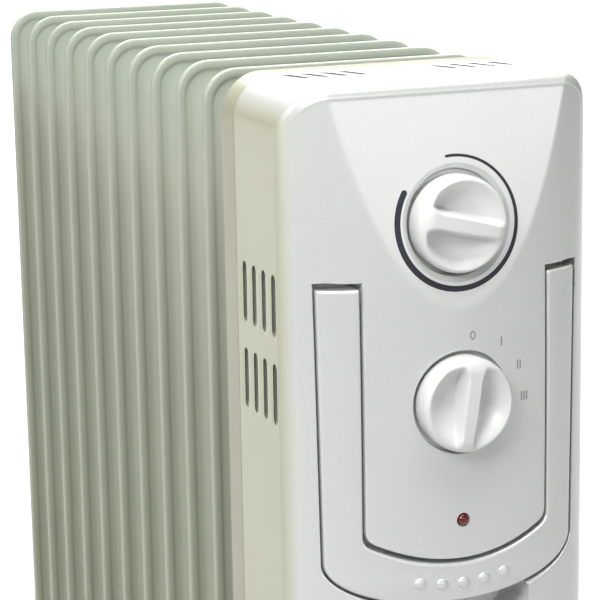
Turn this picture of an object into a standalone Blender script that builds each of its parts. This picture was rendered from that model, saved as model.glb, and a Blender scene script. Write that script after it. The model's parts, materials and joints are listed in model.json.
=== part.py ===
"""Oil filled radiator heater: eleven hollow fins on four casters, with a control housing at one end.

Metres, +Z up. The control panel faces -Y, the fins run back along +Y, and the floor is at z = 0.
The origin is the centre of the bounding box at floor level. A drop is measured down from the fin
tops, and a depth back from the control panel's foremost line.
"""

import math

import bmesh
import bpy
from mathutils import Matrix, Vector

# ---------------------------------------------------------------- driving dimensions
GAP = 0.0003  # between pieces that touch on the real object
OVER = 0.0100  # how far a cutter runs past what it cuts

FIN_COUNT = 11
FIN_PITCH = 0.0382
FIN_WIDTH = 0.150
FIN_HEIGHT = 0.580
FIN_CORNER = 0.0172
FIN_BOTTOM = 0.0560
RIM_DEPTH = 0.0050  # of the hemmed edge, front to back
RIM_WIDTH = 0.0026
RIM_STEP = 0.0006
SEAM_HALF = 0.0009  # half the thickness of the two welded sheets
FLANGE_WIDTH = 0.0080  # from the fin's edge to the foot of the oil channel's slope
SLOPE_END = 0.0170
CHANNEL_HALF = 0.0065
WEB_HALF_WIDTH = 0.0080
WEB_HALF_HEIGHT = 0.170
WEB_WALL = 0.0036
GROOVE_SLOPE = 0.0050
SHEET = 0.0012
HUB_INSET = 0.0470  # hub centre from the fin's top or bottom edge
HUB_RADIUS = 0.0210
NECK_RADIUS = 0.0160
PORT_RADIUS = 0.0135
END_BOSS = 0.0120
BLIND_BOSS = 0.0080

GASKET_RADIUS = 0.0175
GASKET_BORE = 0.0136
GASKET_THICK = 0.0013
ELEMENT_DISC_RADIUS = 0.0185
ELEMENT_DISC_THICK = 0.0031
ELEMENT_HEX_RADIUS = 0.0165
ELEMENT_HEX_LENGTH = 0.0070
ELEMENT_ROD = 0.0032
ELEMENT_SPREAD = 0.0055
ELEMENT_REACHES = {"element_low": 0.300, "element_high": 0.352}
ELEMENT_TAIL = 0.0200

TAIL = 0.0165  # the oil filler plug behind the middle of the last fin
PLUG_BODY_RADIUS = 0.0120
PLUG_RIM_RADIUS = 0.0165
PLUG_RIM_THICK = 0.0020
PLUG_HEX_RADIUS = 0.0095

HALF_WIDTH = 0.0770  # of the housing
NOSE_DEPTH = 0.0350  # how far back the curved front runs before the sides are straight
NOSE_OVERRUN = 0.0004
NOSE_STEPS = 15
FACET_STEPS = 13
HOUSING_RISE = 0.0020  # housing top above the fin tops
HOUSING_BOTTOM = 0.0800
HOUSING_CORNER = 0.0200
CORNER_STEPS = 4
WALL = 0.0025
PANEL_TO_FIN = 0.0893  # foremost line of the panel to the middle of the first fin
SEAM_TO_FIN = 0.0083
FRAME_DEPTH = 0.0160
FRAME_WALL = 0.0014
FRAME_LIP = 0.0060
LIP_THICK = 0.0014

LOWER_FACET_FOOT = 0.180
LOWER_FACET_SLOPE = 0.0194
LOWER_FACET_CURVE = 0.88
UPPER_FACET_FOOT = 0.100
UPPER_FACET_SLOPE = 0.1256

SIDE_VENT_DROPS = (0.0965, 0.1375)
SIDE_VENT = (0.0285, 0.0050)  # length and width
SIDE_VENT_COUNT = 4
SIDE_VENT_PITCH = 0.0118
SIDE_VENT_START = 0.0097  # ahead of the seam
TOP_VENT = (0.0175, 0.0046)
TOP_VENT_COUNT = 4
TOP_VENT_PITCH = 0.0095
TOP_VENT_GROUP_X = 0.0375
TOP_VENT_START = 0.0140
TOP_VENT_SLANT = -72.0

THERMOSTAT_DROP = 0.0603
POWER_DROP = 0.1415
INDICATOR_DROP = 0.1967
KNOB_RADIUS = 0.0219
KNOB_HEIGHT = 0.0145
KNOB_LIFT = 0.0012  # of a knob above the floor of its well
KNOB_BEVEL = 0.0040
KNOB_SCOOP = (0.0082, 0.0098, 0.0150)
SCOOP_OFFSET = 0.0130
SCOOP_LEAN = 4.0
WELL_RADIUS = 0.0238
DISH_RADIUS = 0.0262
WELL_DEPTH = 0.0050
THERMOSTAT_POINTER = 284.0  # degrees clockwise from the top
POWER_POINTER = 8.0
SHAFT_RADIUS = 0.0030
SHAFT_HOLE = 0.0050
SHAFT_SOCKET = 0.0060
LENS_RADIUS = 0.0027
LENS_RIM = 0.0040
LENS_HOLE = 0.0031

HANDLE_THICK = 0.0110
HANDLE_GAP = 0.0012
HANDLE_TOP_GAP = 0.0028
HANDLE_TOP_DROP = 0.0868
ARM_OUTER_TOP = 0.0645
ARM_OUTER_FOOT = 0.0628
ARM_INNER = 0.0467
BAR_INNER_DROP = 0.2170
BAR_OUTER_DROP = 0.2360
CORNER_DROP = 0.2140
CORNER_ROUND = 0.0050
BUMP_COUNT = 5
BUMP_PITCH = 0.0106
BUMP_DROP = 0.2266
BUMP_RADII = (0.0028, 0.0018, 0.0023)
POCKET_BACK = 0.0340  # deepest part of the handle's pocket
PIVOT_DROP = 0.0913
PIVOT_DEPTH = 0.0140
PIVOT_SWEEP = 0.0080
ARM_BACK_CUT = (0.0040, 0.0160)  # behind the pivot: where the arm's sloped back starts and ends
PIN_RADIUS = 0.0018
PIN_START = 0.0434
PIN_END = 0.0540
RECESS_DROP = 0.2380
RECESS_HALF = (0.036, 0.019)
RECESS_DEPTH = 0.0240

PLATE_THICK = 0.0012
PLATE_CLEARANCE = 0.0006
BRACKET_DEPTH = 0.0155
BRACKET_HALF_WIDTH = 0.0240
BRACKET_TOP_DROP = 0.0310
BRACKET_FOOT_DROP = 0.1790
BRACKET_FLANGE = 0.0080
BRACKET_HOLE = 0.0045
THERMOSTAT_BODY = (0.0160, 0.0200, 0.0150)  # half width, depth, half height
SWITCH_RADIUS = 0.0165
SWITCH_DEPTH = 0.0210
TAB_HALF = (0.0030, 0.0004)
TAB_LENGTH = 0.0080
POST_X = 0.0630
POST_Z = 0.300
POST_RADIUS = 0.0046
POST_FRONT = 0.0120
THREAD_RADIUS = 0.0014
SCREW_RADIUS = 0.0011
SCREW_LENGTH = 0.0120
SCREW_HEAD_RADIUS = 0.0034
BLOCK_LOW = (-0.030, 0.016, 0.215)  # X, depth ahead of the mounting plate, Z
BLOCK_HIGH = (0.030, 0.0, 0.233)
BLOCK_PITCH = 0.0180
TILT_LOW = (0.034, 0.020, 0.246)
TILT_HIGH = (0.058, 0.0, 0.272)
CUTOUT_PLACE = (-0.046, 0.259)
GLAND_X = 0.0450
GLAND_AHEAD = 0.0220  # of the seam
GLAND_HOLE = 0.0072
WIRE_RADIUS = 0.0013
WIRE_X = 0.0310  # where the leads pass the bracket's legs

WHEEL_RADIUS = 0.0175
WHEEL_HALF = 0.0060
WHEEL_SIDES = 20
TRAIL = 0.0090
CASTER_X = 0.1050
FORK_HEAD_RADIUS = 0.0105
FORK_BRIDGE = (0.0385, 0.0440)
CHEEK_GAP = 0.0008
CHEEK_THICK = 0.0022
CHEEK_TIP = 0.0062
STEM_RADIUS = 0.0036
COLLAR_RADIUS = 0.0070
RIVET_RADIUS = 0.0060
RIVET_HEIGHT = 0.0026
AXLE_RADIUS = 0.0020
FOOT_LENGTH = 0.2460
FOOT_WIDTH = 0.0460
FOOT_TOP = 0.0525
FOOT_SHEET = 0.0016
FOOT_SKIRT = 0.0440
BOLT_ROD = 0.0025
BOLT_BEND = 0.0205
BOLT_FOOT = 0.0370
NUT_RADII = (0.0062, 0.0052)
NUT_HEIGHT = 0.0070
WING_HALF = 0.0011

# ---------------------------------------------------------------- places worked out from them
KNOB_REACH = KNOB_HEIGHT + KNOB_LIFT - WELL_DEPTH - LOWER_FACET_SLOPE * (LOWER_FACET_FOOT - POWER_DROP)
LENGTH = KNOB_REACH + PANEL_TO_FIN + (FIN_COUNT - 1) * FIN_PITCH + TAIL
PANEL_Y = -LENGTH / 2 + KNOB_REACH
FIRST_FIN_Y = PANEL_Y + PANEL_TO_FIN
SEAM_Y = FIRST_FIN_Y - SEAM_TO_FIN
FIN_TOP = FIN_BOTTOM + FIN_HEIGHT
FIN_MIDDLE = FIN_BOTTOM + FIN_HEIGHT / 2
HUB_TOP = FIN_TOP - HUB_INSET
HUB_BOTTOM = FIN_BOTTOM + HUB_INSET
HOUSING_TOP = FIN_TOP + HOUSING_RISE
THERMOSTAT_Z = FIN_TOP - THERMOSTAT_DROP
POWER_Z = FIN_TOP - POWER_DROP
INDICATOR_Z = FIN_TOP - INDICATOR_DROP
PIVOT_Z = FIN_TOP - PIVOT_DROP
PIVOT_Y = PANEL_Y + PIVOT_DEPTH
PLATE_Y = SEAM_Y - PLATE_THICK - GAP
PLATE_FRONT = PLATE_Y - GAP
BRACKET_Y = PANEL_Y + BRACKET_DEPTH
SWITCH_FRONT = BRACKET_Y + SHEET + GAP
FLANGE_UNDER = FOOT_TOP - FOOT_SHEET - GAP


# ---------------------------------------------------------------- tools
def clear_scene():
    for old in list(bpy.data.objects):
        bpy.data.objects.remove(old, do_unlink=True)


def material(name, colour, roughness, metallic=0.0):
    made = bpy.data.materials.get(name)
    if made is None:
        made = bpy.data.materials.new(name)
        made.use_nodes = True
        shader = made.node_tree.nodes["Principled BSDF"]
        shader.inputs["Base Color"].default_value = (*colour, 1.0)
        shader.inputs["Roughness"].default_value = roughness
        shader.inputs["Metallic"].default_value = metallic
    return made


def fin_paint():
    return material("fin_paint", (0.46, 0.48, 0.44), 0.42, 0.15)


def frame_plastic():
    return material("frame_plastic", (0.66, 0.65, 0.58), 0.45)


def cover_plastic():
    return material("cover_plastic", (0.74, 0.75, 0.75), 0.33)


def bright_steel():
    return material("bright_steel", (0.62, 0.63, 0.64), 0.32, 1.0)


def zinc_plate():
    return material("zinc_plate", (0.60, 0.62, 0.63), 0.4, 1.0)


def dark_plastic():
    return material("dark_plastic", (0.05, 0.05, 0.055), 0.5)


def put(name, mesh, surface=None):
    made = bpy.data.objects.new(name, mesh)
    bpy.context.scene.collection.objects.link(made)
    if surface is not None:
        mesh.materials.clear()
        mesh.materials.append(surface)
    return made


def loft(name, loops, surface=None):
    """A closed solid through loops of equal length, with a cap at each end. A one-point loop is a tip."""
    shape = bmesh.new()
    rings = [[shape.verts.new(point) for point in loop] for loop in loops]
    for lower, upper in zip(rings, rings[1:]):
        count = max(len(lower), len(upper))
        for i in range(count):
            j = (i + 1) % count
            corners = [lower[i % len(lower)], lower[j % len(lower)]]
            corners += [upper[j % len(upper)], upper[i % len(upper)]]
            shape.faces.new(list(dict.fromkeys(corners)))
    for ring in (rings[0], rings[-1]):
        if len(ring) > 2:
            shape.faces.new(ring)
    bmesh.ops.recalc_face_normals(shape, faces=shape.faces)
    mesh = bpy.data.meshes.new(name)
    shape.to_mesh(mesh)
    shape.free()
    return put(name, mesh, surface)


def on_axis(axis, a, b, along):
    """A point at (a, b) across the axis and at along on it, with a and b in X, Y, Z order."""
    return {"x": (along, a, b), "y": (a, along, b), "z": (a, b, along)}[axis]


def prism(name, outline, axis, low, high, surface=None):
    loops = [[on_axis(axis, a, b, along) for a, b in outline] for along in (low, high)]
    return loft(name, loops, surface)


def box(name, low, high, surface=None):
    outline = [(low[0], low[1]), (high[0], low[1]), (high[0], high[1]), (low[0], high[1])]
    return prism(name, outline, "z", low[2], high[2], surface)


def circle(radius, segments, centre=(0.0, 0.0), start=0.0):
    steps = [start + 2 * math.pi * i / segments for i in range(segments)]
    return [(centre[0] + radius * math.cos(t), centre[1] + radius * math.sin(t)) for t in steps]


def turned(name, axis, centre, profile, segments, surface=None, start=0.0):
    """A turned solid; profile holds (radius, distance along the axis from the centre)."""
    a, b, origin = {
        "x": (centre[1], centre[2], centre[0]),
        "y": (centre[0], centre[2], centre[1]),
        "z": (centre[0], centre[1], centre[2]),
    }[axis]
    loops = []
    for radius, along in profile:
        ring = circle(radius, segments, (a, b), start) if radius > 0 else [(a, b)]
        loops.append([on_axis(axis, p, q, origin + along) for p, q in ring])
    return loft(name, loops, surface)


def rod(name, axis, centre, radius, low, high, segments, surface=None):
    return turned(name, axis, centre, [(radius, low), (radius, high)], segments, surface)


def ellipsoid(name, radii, segments, rings, place):
    shape = bmesh.new()
    bmesh.ops.create_uvsphere(shape, u_segments=segments, v_segments=rings, radius=1.0)
    shape.transform(place @ Matrix.Diagonal((*radii, 1.0)))
    mesh = bpy.data.meshes.new(name)
    shape.to_mesh(mesh)
    shape.free()
    return put(name, mesh)


def combine(base, tool, operation="DIFFERENCE"):
    """Applies one exact Boolean to base, and removes the tool."""
    modifier = base.modifiers.new("Combine", "BOOLEAN")
    modifier.operation = operation
    modifier.solver = "EXACT"
    modifier.object = tool
    bpy.context.view_layer.update()
    graph = bpy.context.evaluated_depsgraph_get()
    result = bpy.data.meshes.new_from_object(base.evaluated_get(graph))
    base.modifiers.clear()
    surfaces = list(base.data.materials)
    base.data = result
    result.materials.clear()
    for surface in surfaces:
        result.materials.append(surface)
    for face in result.polygons:
        face.material_index = 0
    bpy.data.objects.remove(tool, do_unlink=True)
    return base


def copy_of(source, name):
    made = bpy.data.objects.new(name, source.data)
    bpy.context.scene.collection.objects.link(made)
    return made


def hinge_at(piece, point):
    """Moves the piece's origin to its joint's axis, and leaves its shape where it is."""
    piece.data.transform(Matrix.Translation(-Vector(point)))
    piece.location = point
    return piece


def smooth(piece, angle=35.0):
    piece.data.shade_smooth()
    piece.data.set_sharp_from_angle(angle=math.radians(angle))
    return piece


def rounded_rect(half_x, low_z, high_z, radius, steps):
    """Points (x, z) round a rectangle, anticlockwise from its lower right corner."""
    points = []
    low, high = low_z + radius, high_z - radius
    for side, centre_z, start in ((1, low, -90), (1, high, 0), (-1, high, 90), (-1, low, 180)):
        centre_x = side * (half_x - radius)
        for i in range(steps + 1):
            t = math.radians(start + 90 * i / steps)
            points.append((centre_x + radius * math.cos(t), centre_z + radius * math.sin(t)))
    return points


def tube(name, points, radius, surface, resolution):
    curve = bpy.data.curves.new(name, "CURVE")
    curve.dimensions = "3D"
    curve.bevel_depth = radius
    curve.bevel_resolution = resolution
    curve.use_fill_caps = True
    spline = curve.splines.new("POLY")
    spline.points.add(len(points) - 1)
    for place, point in zip(spline.points, points):
        place.co = (*point, 1.0)
    curve.materials.append(surface)
    made = bpy.data.objects.new(name, curve)
    bpy.context.scene.collection.objects.link(made)
    return made


# ---------------------------------------------------------------- fins
def fin_loop(inset, y, steps):
    radius = max(FIN_CORNER - inset, 0.004)
    outline = rounded_rect(FIN_WIDTH / 2 - inset, FIN_BOTTOM + inset, FIN_TOP - inset, radius, steps)
    return [(x, y, z) for x, z in outline]


def fin_blank(name):
    """The welded pair of pressed sheets with its hemmed rim, at y = 0, still without hubs."""
    rim = RIM_DEPTH / 2
    half = [(0.0, rim), (RIM_WIDTH, rim), (RIM_WIDTH + RIM_STEP, SEAM_HALF), (FLANGE_WIDTH, SEAM_HALF)]
    half.append((SLOPE_END, CHANNEL_HALF))
    front = [fin_loop(inset, -y, 2) for inset, y in reversed(half)]
    back = [fin_loop(inset, y, 2) for inset, y in half]
    return loft(name, front + back, fin_paint())


def web_outline(half, tall):
    return rounded_rect(half, FIN_MIDDLE - tall, FIN_MIDDLE + tall, half * 0.95, 1)


def oil_space():
    """The hollow of both oil channels, joined above and below the web between them."""
    edge = FLANGE_WIDTH + 0.0028
    wide = SLOPE_END + SHEET
    loops = [fin_loop(wide, -CHANNEL_HALF + SHEET, 1), fin_loop(edge, -SHEET, 1)]
    loops += [fin_loop(edge, SHEET, 1), fin_loop(wide, CHANNEL_HALF - SHEET, 1)]
    web = web_outline(WEB_HALF_WIDTH + WEB_WALL, WEB_HALF_HEIGHT + WEB_WALL)
    return combine(loft("space", loops), prism("web", web, "y", -CHANNEL_HALF, CHANNEL_HALF))


def web_groove(side):
    loops = []
    for grow, y in ((-0.002, SHEET), (GROOVE_SLOPE - 0.002, CHANNEL_HALF + 0.002)):
        outline = web_outline(WEB_HALF_WIDTH + grow, WEB_HALF_HEIGHT + grow)
        loops.append([(x, side * y, z) for x, z in outline])
    return loft("groove", loops)


def hub(side, z, reach):
    """One hub boss: a cone that starts inside the channel and narrows to its neck."""
    root = CHANNEL_HALF - SHEET / 2
    narrowing = (reach - CHANNEL_HALF) / (FIN_PITCH / 2 - CHANNEL_HALF)
    neck = HUB_RADIUS + (NECK_RADIUS - HUB_RADIUS) * narrowing
    return turned("hub", "y", (0, 0, z), [(HUB_RADIUS, side * root), (neck, side * reach)], 10)


def make_fin(name, reaches, open_ports):
    """reaches is keyed by (side, z): how far each boss stands out. open_ports lists the bored ones."""
    fin = fin_blank(name)
    for side in (-1, 1):
        combine(fin, web_groove(side))
    for (side, z), reach in reaches.items():
        combine(fin, hub(side, z, reach), "UNION")
    space = oil_space()
    for side, z in open_ports:
        end = side * (reaches[side, z] + 0.002)
        combine(space, rod("port", "y", (0, 0, z), PORT_RADIUS, 0.0, end, 8), "UNION")
    return combine(fin, space)


def make_fins():
    joint = FIN_PITCH / 2 - GAP / 2
    every = [(side, z) for side in (-1, 1) for z in (HUB_BOTTOM, HUB_TOP)]
    full = {place: joint for place in every}
    first = {**full, (-1, HUB_BOTTOM): END_BOSS, (-1, HUB_TOP): BLIND_BOSS}
    last = {**full, (1, HUB_BOTTOM): BLIND_BOSS, (1, HUB_TOP): END_BOSS}
    front = make_fin("fin_01", first, [place for place in every if place != (-1, HUB_TOP)])
    middle = make_fin("fin_02", full, every)
    back = make_fin(f"fin_{FIN_COUNT:02d}", last, [place for place in every if place != (1, HUB_BOTTOM)])
    for fin in (front, middle, back):
        smooth(fin)
    fins = [front, middle]
    fins += [copy_of(middle, f"fin_{i + 1:02d}") for i in range(2, FIN_COUNT - 1)]
    fins.append(back)
    for i, fin in enumerate(fins):
        fin.location = (0, FIRST_FIN_Y + i * FIN_PITCH, 0)


# ---------------------------------------------------------------- heating elements and plug
def make_elements():
    face = FIRST_FIN_Y - END_BOSS
    centre = (0, face, HUB_BOTTOM)
    fibre = material("gasket_fibre", (0.12, 0.16, 0.13), 0.7)
    disc_face = -2 * GAP - GASKET_THICK
    disc_end = disc_face - ELEMENT_DISC_THICK
    gasket = rod("element_gasket", "y", centre, GASKET_RADIUS, -GAP, -GAP - GASKET_THICK, 20, fibre)
    combine(gasket, rod("bore", "y", centre, GASKET_BORE, OVER, -OVER, 20))
    brass = material("brass", (0.72, 0.56, 0.27), 0.35, 1.0)
    flange = rod("element_flange", "y", centre, ELEMENT_DISC_RADIUS, disc_face, disc_end, 20, brass)
    hex_end = disc_end - ELEMENT_HEX_LENGTH
    hexagon = rod("hexagon", "y", centre, ELEMENT_HEX_RADIUS, disc_end + 0.001, hex_end, 6)
    combine(flange, hexagon, "UNION")
    sheath = material("element_sheath", (0.42, 0.33, 0.27), 0.45, 1.0)
    start = face - ELEMENT_TAIL
    bend = [(math.cos(t), math.sin(t)) for t in (math.pi * (1 - i / 5) for i in range(6))]
    for (name, reach), side in zip(ELEMENT_REACHES.items(), (-1, 1)):
        tip = FIRST_FIN_Y + reach
        route = [(-ELEMENT_SPREAD, start)]
        route += [(ELEMENT_SPREAD * a, tip + ELEMENT_SPREAD * b) for a, b in bend]
        route.append((ELEMENT_SPREAD, start))
        points = [(x, y, HUB_BOTTOM + side * ELEMENT_SPREAD) for x, y in route]
        tube(name, points, ELEMENT_ROD, sheath, 1)
        for x in (-ELEMENT_SPREAD, ELEMENT_SPREAD):
            hole = (x, face, HUB_BOTTOM + side * ELEMENT_SPREAD)
            combine(flange, rod("way", "y", hole, ELEMENT_ROD + GAP, OVER, -0.03, 10))
    smooth(flange)
    smooth(gasket)


def make_filler_plug():
    centre = (0, FIRST_FIN_Y + (FIN_COUNT - 1) * FIN_PITCH + END_BOSS, HUB_TOP)
    profile = [(PLUG_BODY_RADIUS, -0.0050), (PLUG_BODY_RADIUS, GAP), (PLUG_RIM_RADIUS, GAP)]
    profile.append((PLUG_RIM_RADIUS, PLUG_RIM_THICK))
    plug = turned("oil_filler_plug", "y", centre, profile, 20, bright_steel())
    head = rod("head", "y", centre, PLUG_HEX_RADIUS, PLUG_RIM_THICK - 0.0005, TAIL - END_BOSS, 6)
    smooth(combine(plug, head, "UNION"))


# ---------------------------------------------------------------- housing
def nose_curve(x, inset):
    """How far the curved front has fallen back at x."""
    half_x = HALF_WIDTH + NOSE_OVERRUN - inset
    reach = min(abs(x) / half_x, 1.0)
    return (NOSE_DEPTH - inset) * (1 - math.sqrt(1 - reach * reach))


def plan_outline(inset, back_y):
    """The housing seen from above: straight sides, and half an ellipse for the curved front."""
    half_x = HALF_WIDTH + NOSE_OVERRUN - inset
    half_y = NOSE_DEPTH - inset
    middle = PANEL_Y + NOSE_DEPTH
    nose = [(half_x * math.cos(t), middle - half_y * math.sin(t))
            for t in (math.pi * (1 - i / NOSE_STEPS) for i in range(NOSE_STEPS + 1))]
    return [(-half_x, back_y)] + nose + [(half_x, back_y)]


def lower_facet(inset):
    """Cutter for the flatter, slightly tilted field round the power knob."""
    half_x = HALF_WIDTH + 0.004
    across = [-half_x * math.cos(math.pi * i / FACET_STEPS) for i in range(FACET_STEPS + 1)]
    loops = []
    for z in (HOUSING_BOTTOM - OVER, HOUSING_TOP + OVER):
        start = PANEL_Y + inset + LOWER_FACET_SLOPE * (z - FIN_TOP + LOWER_FACET_FOOT)
        loop = [(x, start + LOWER_FACET_CURVE * nose_curve(x, inset), z) for x in across]
        loops.append(loop + [(half_x, PANEL_Y - 0.03, z), (-half_x, PANEL_Y - 0.03, z)])
    return loft("lower_facet", loops)


def upper_facet(inset):
    """Cutter for the flat field round the thermostat knob, which leans back towards the top."""
    start = PANEL_Y + inset + LOWER_FACET_SLOPE * (LOWER_FACET_FOOT - UPPER_FACET_FOOT)
    low_z = FIN_TOP - UPPER_FACET_FOOT - 0.1
    high_z = HOUSING_TOP + OVER
    outline = [(start + UPPER_FACET_SLOPE * (z - FIN_TOP + UPPER_FACET_FOOT), z) for z in (low_z, high_z)]
    outline += [(PANEL_Y - 0.04, high_z), (PANEL_Y - 0.04, low_z)]
    return prism("upper_facet", outline, "x", -0.1, 0.1)


def facet_depth(z):
    """The depth of the panel's middle line at height z."""
    drop = FIN_TOP - z
    lower = LOWER_FACET_SLOPE * max(LOWER_FACET_FOOT - drop, 0.0)
    join = LOWER_FACET_SLOPE * (LOWER_FACET_FOOT - UPPER_FACET_FOOT)
    return max(lower, join + UPPER_FACET_SLOPE * (UPPER_FACET_FOOT - drop))


def housing_solid(name, inset, back_y):
    """The solid inside the housing's outer surface, moved in by the inset."""
    body = prism(name, plan_outline(inset, back_y), "z", HOUSING_BOTTOM - OVER, HOUSING_TOP + OVER)
    corner = max(HOUSING_CORNER - inset, 0.004)
    low, high = HOUSING_BOTTOM + inset, HOUSING_TOP - inset
    outline = rounded_rect(HALF_WIDTH - inset, low, high, corner, CORNER_STEPS)
    combine(body, prism("keep", outline, "y", PANEL_Y - 0.05, back_y + 0.05), "INTERSECT")
    combine(body, lower_facet(inset))
    combine(body, upper_facet(inset))
    return body


def handle_outline(grow, top_gap=0.0):
    """The handle's U seen from the front, with every edge moved out by grow."""
    top = FIN_TOP - HANDLE_TOP_DROP + top_gap
    foot = FIN_TOP - CORNER_DROP
    inner = ARM_INNER - grow
    outer_foot = ARM_OUTER_FOOT + grow
    outer_arc = []
    for share in (1 - i / 8 for i in range(9)):
        drop = (BAR_OUTER_DROP - CORNER_DROP + grow) * math.sqrt(1 - share**2.2)
        outer_arc.append((outer_foot * share, foot - drop))
    inner_foot = FIN_TOP - BAR_INNER_DROP + grow
    inner_arc = [(0.0, inner_foot)]
    for share in (i / 5 for i in range(1, 6)):
        inner_arc.append(((inner - CORNER_ROUND) * share, inner_foot + 0.0095 * share**2))
    inner_arc.append((inner - CORNER_ROUND * 0.3, inner_foot + 0.0128))
    inner_arc.append((inner, inner_foot + 0.0162))
    right = [(ARM_OUTER_TOP + grow, top)] + outer_arc
    left = [(-x, z) for x, z in reversed(right[:-1])]
    inside = [(-x, z) for x, z in reversed(inner_arc)] + inner_arc[1:]
    return right + left + [(-inner, top)] + inside + [(inner, top)]


def handle_prism(grow, top_gap=0.0):
    return prism("handle_u", handle_outline(grow, top_gap), "y", PANEL_Y - 0.03, PANEL_Y + POCKET_BACK + grow)


def finger_recess(grow):
    centre = FIN_TOP - RECESS_DROP
    across, up = (half + grow for half in RECESS_HALF)
    outline = [(across * a, centre + up * b) for a, b in circle(1.0, 16)]
    return prism("recess", outline, "y", PANEL_Y - 0.03, PANEL_Y + RECESS_DEPTH + grow)


def pivot_sweep(side, grow):
    """The round pocket in which the top of one handle arm turns."""
    low = side * (ARM_INNER - HANDLE_GAP - grow)
    high = side * (ARM_OUTER_TOP + HANDLE_GAP + grow)
    return rod("sweep", "x", (0, PIVOT_Y, PIVOT_Z), PIVOT_SWEEP + grow, low, high, 14)


def slot(length, width, turn=0.0):
    """A narrow slot's outline; at no turn it lies along its first axis."""
    cos, sin = math.cos(math.radians(turn)), math.sin(math.radians(turn))
    corners = [(1, -1), (1, 1), (-1, 1), (-1, -1)]
    flat = [(a * length / 2, b * width / 2) for a, b in corners]
    return [(a * cos - b * sin, a * sin + b * cos) for a, b in flat]


def side_vents():
    """Two rows of upright slots in each side."""
    cutters = []
    for drop in SIDE_VENT_DROPS:
        for i in range(SIDE_VENT_COUNT):
            y = SEAM_Y - SIDE_VENT_START - i * SIDE_VENT_PITCH
            outline = [(y + a, FIN_TOP - drop + b) for a, b in slot(*SIDE_VENT, 90.0)]
            for side in (-1, 1):
                low = side * (HALF_WIDTH - 0.006)
                cutters.append(prism("vent", outline, "x", low, low + side * OVER))
    return cutters


def top_vents():
    """Two groups of slanted slots in the top."""
    cutters = []
    for group in (-1, 1):
        for i in range(TOP_VENT_COUNT):
            x = group * TOP_VENT_GROUP_X + (i - (TOP_VENT_COUNT - 1) / 2) * TOP_VENT_PITCH
            outline = [(x + a, SEAM_Y - TOP_VENT_START + b) for a, b in slot(*TOP_VENT, TOP_VENT_SLANT)]
            cutters.append(prism("vent", outline, "z", HOUSING_TOP - 0.006, HOUSING_TOP + OVER))
    return cutters


def knob_cuts(z, dished):
    """The well that a knob sits in, and the hole for its shaft."""
    face = PANEL_Y + facet_depth(z)
    floor = face + WELL_DEPTH
    mouth = [(WELL_RADIUS, PANEL_Y - 0.02)]
    if dished:
        mouth = [(DISH_RADIUS + OVER, face - OVER), (DISH_RADIUS, face)]
        mouth.append((WELL_RADIUS, face + DISH_RADIUS - WELL_RADIUS))
    well = turned("well", "y", (0, 0, z), mouth + [(WELL_RADIUS, floor)], 26)
    return [well, rod("shaft_hole", "y", (0, 0, z), SHAFT_HOLE, floor - 0.001, floor + OVER, 14)]


def cover_posts(radius, front, back):
    return [rod("post", "y", (side * POST_X, 0, POST_Z), radius, front, back, 10) for side in (-1, 1)]


def pin_ways(radius, start, end):
    places = [(side * start, side * end) for side in (-1, 1)]
    return [rod("pin_way", "x", (0, PIVOT_Y, PIVOT_Z), radius, low, high, 12) for low, high in places]


def cover_hollow():
    """The space inside the front cover: walls stay round the handle's pocket, the wells and the posts."""
    hollow = housing_solid("hollow", WALL, SEAM_Y + 0.02)
    combine(hollow, handle_prism(HANDLE_GAP + WALL, HANDLE_TOP_GAP + WALL))
    deep = housing_solid("deep", HANDLE_THICK + HANDLE_GAP + WALL, SEAM_Y + 0.03)
    combine(hollow, deep, "UNION")
    combine(hollow, finger_recess(WALL))
    for side in (-1, 1):
        combine(hollow, pivot_sweep(side, WALL))
    for z in (THERMOSTAT_Z, POWER_Z):
        floor = PANEL_Y + facet_depth(z) + WELL_DEPTH + WALL
        combine(hollow, rod("well_wall", "y", (0, 0, z), DISH_RADIUS + WALL, PANEL_Y - OVER, floor, 20))
    for post in cover_posts(POST_RADIUS, PANEL_Y + POST_FRONT, PLATE_FRONT):
        combine(hollow, post)
    return hollow


def make_front_cover():
    cover = housing_solid("front_cover", 0.0, SEAM_Y - GAP)
    combine(cover, cover_hollow())
    pocket = handle_prism(HANDLE_GAP, HANDLE_TOP_GAP)
    combine(pocket, housing_solid("floor", HANDLE_THICK + HANDLE_GAP, SEAM_Y + 0.03))
    combine(cover, pocket)
    cuts = [finger_recess(0.0)] + [pivot_sweep(side, 0.0) for side in (-1, 1)]
    cuts += knob_cuts(THERMOSTAT_Z, True) + knob_cuts(POWER_Z, False)
    cuts += side_vents() + top_vents()
    cuts.append(rod("lens_hole", "y", (0, 0, INDICATOR_Z), LENS_HOLE, PANEL_Y - OVER, PANEL_Y + OVER, 12))
    cuts += pin_ways(PIN_RADIUS + GAP, PIN_START - 0.002, ARM_INNER)
    cuts += cover_posts(THREAD_RADIUS, PLATE_Y - SCREW_LENGTH - 0.001, PLATE_Y + OVER)
    gland = (GLAND_X, SEAM_Y - GLAND_AHEAD, HOUSING_BOTTOM)
    cuts.append(rod("gland_hole", "z", gland, GLAND_HOLE, -OVER, OVER, 14))
    for cut in cuts:
        combine(cover, cut)
    cover.data.materials.append(cover_plastic())
    return smooth(cover, 25)


def housing_ring(inset, low, high):
    corner = HOUSING_CORNER - inset
    return rounded_rect(HALF_WIDTH - inset, HOUSING_BOTTOM + low, HOUSING_TOP - high, corner, CORNER_STEPS)


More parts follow.
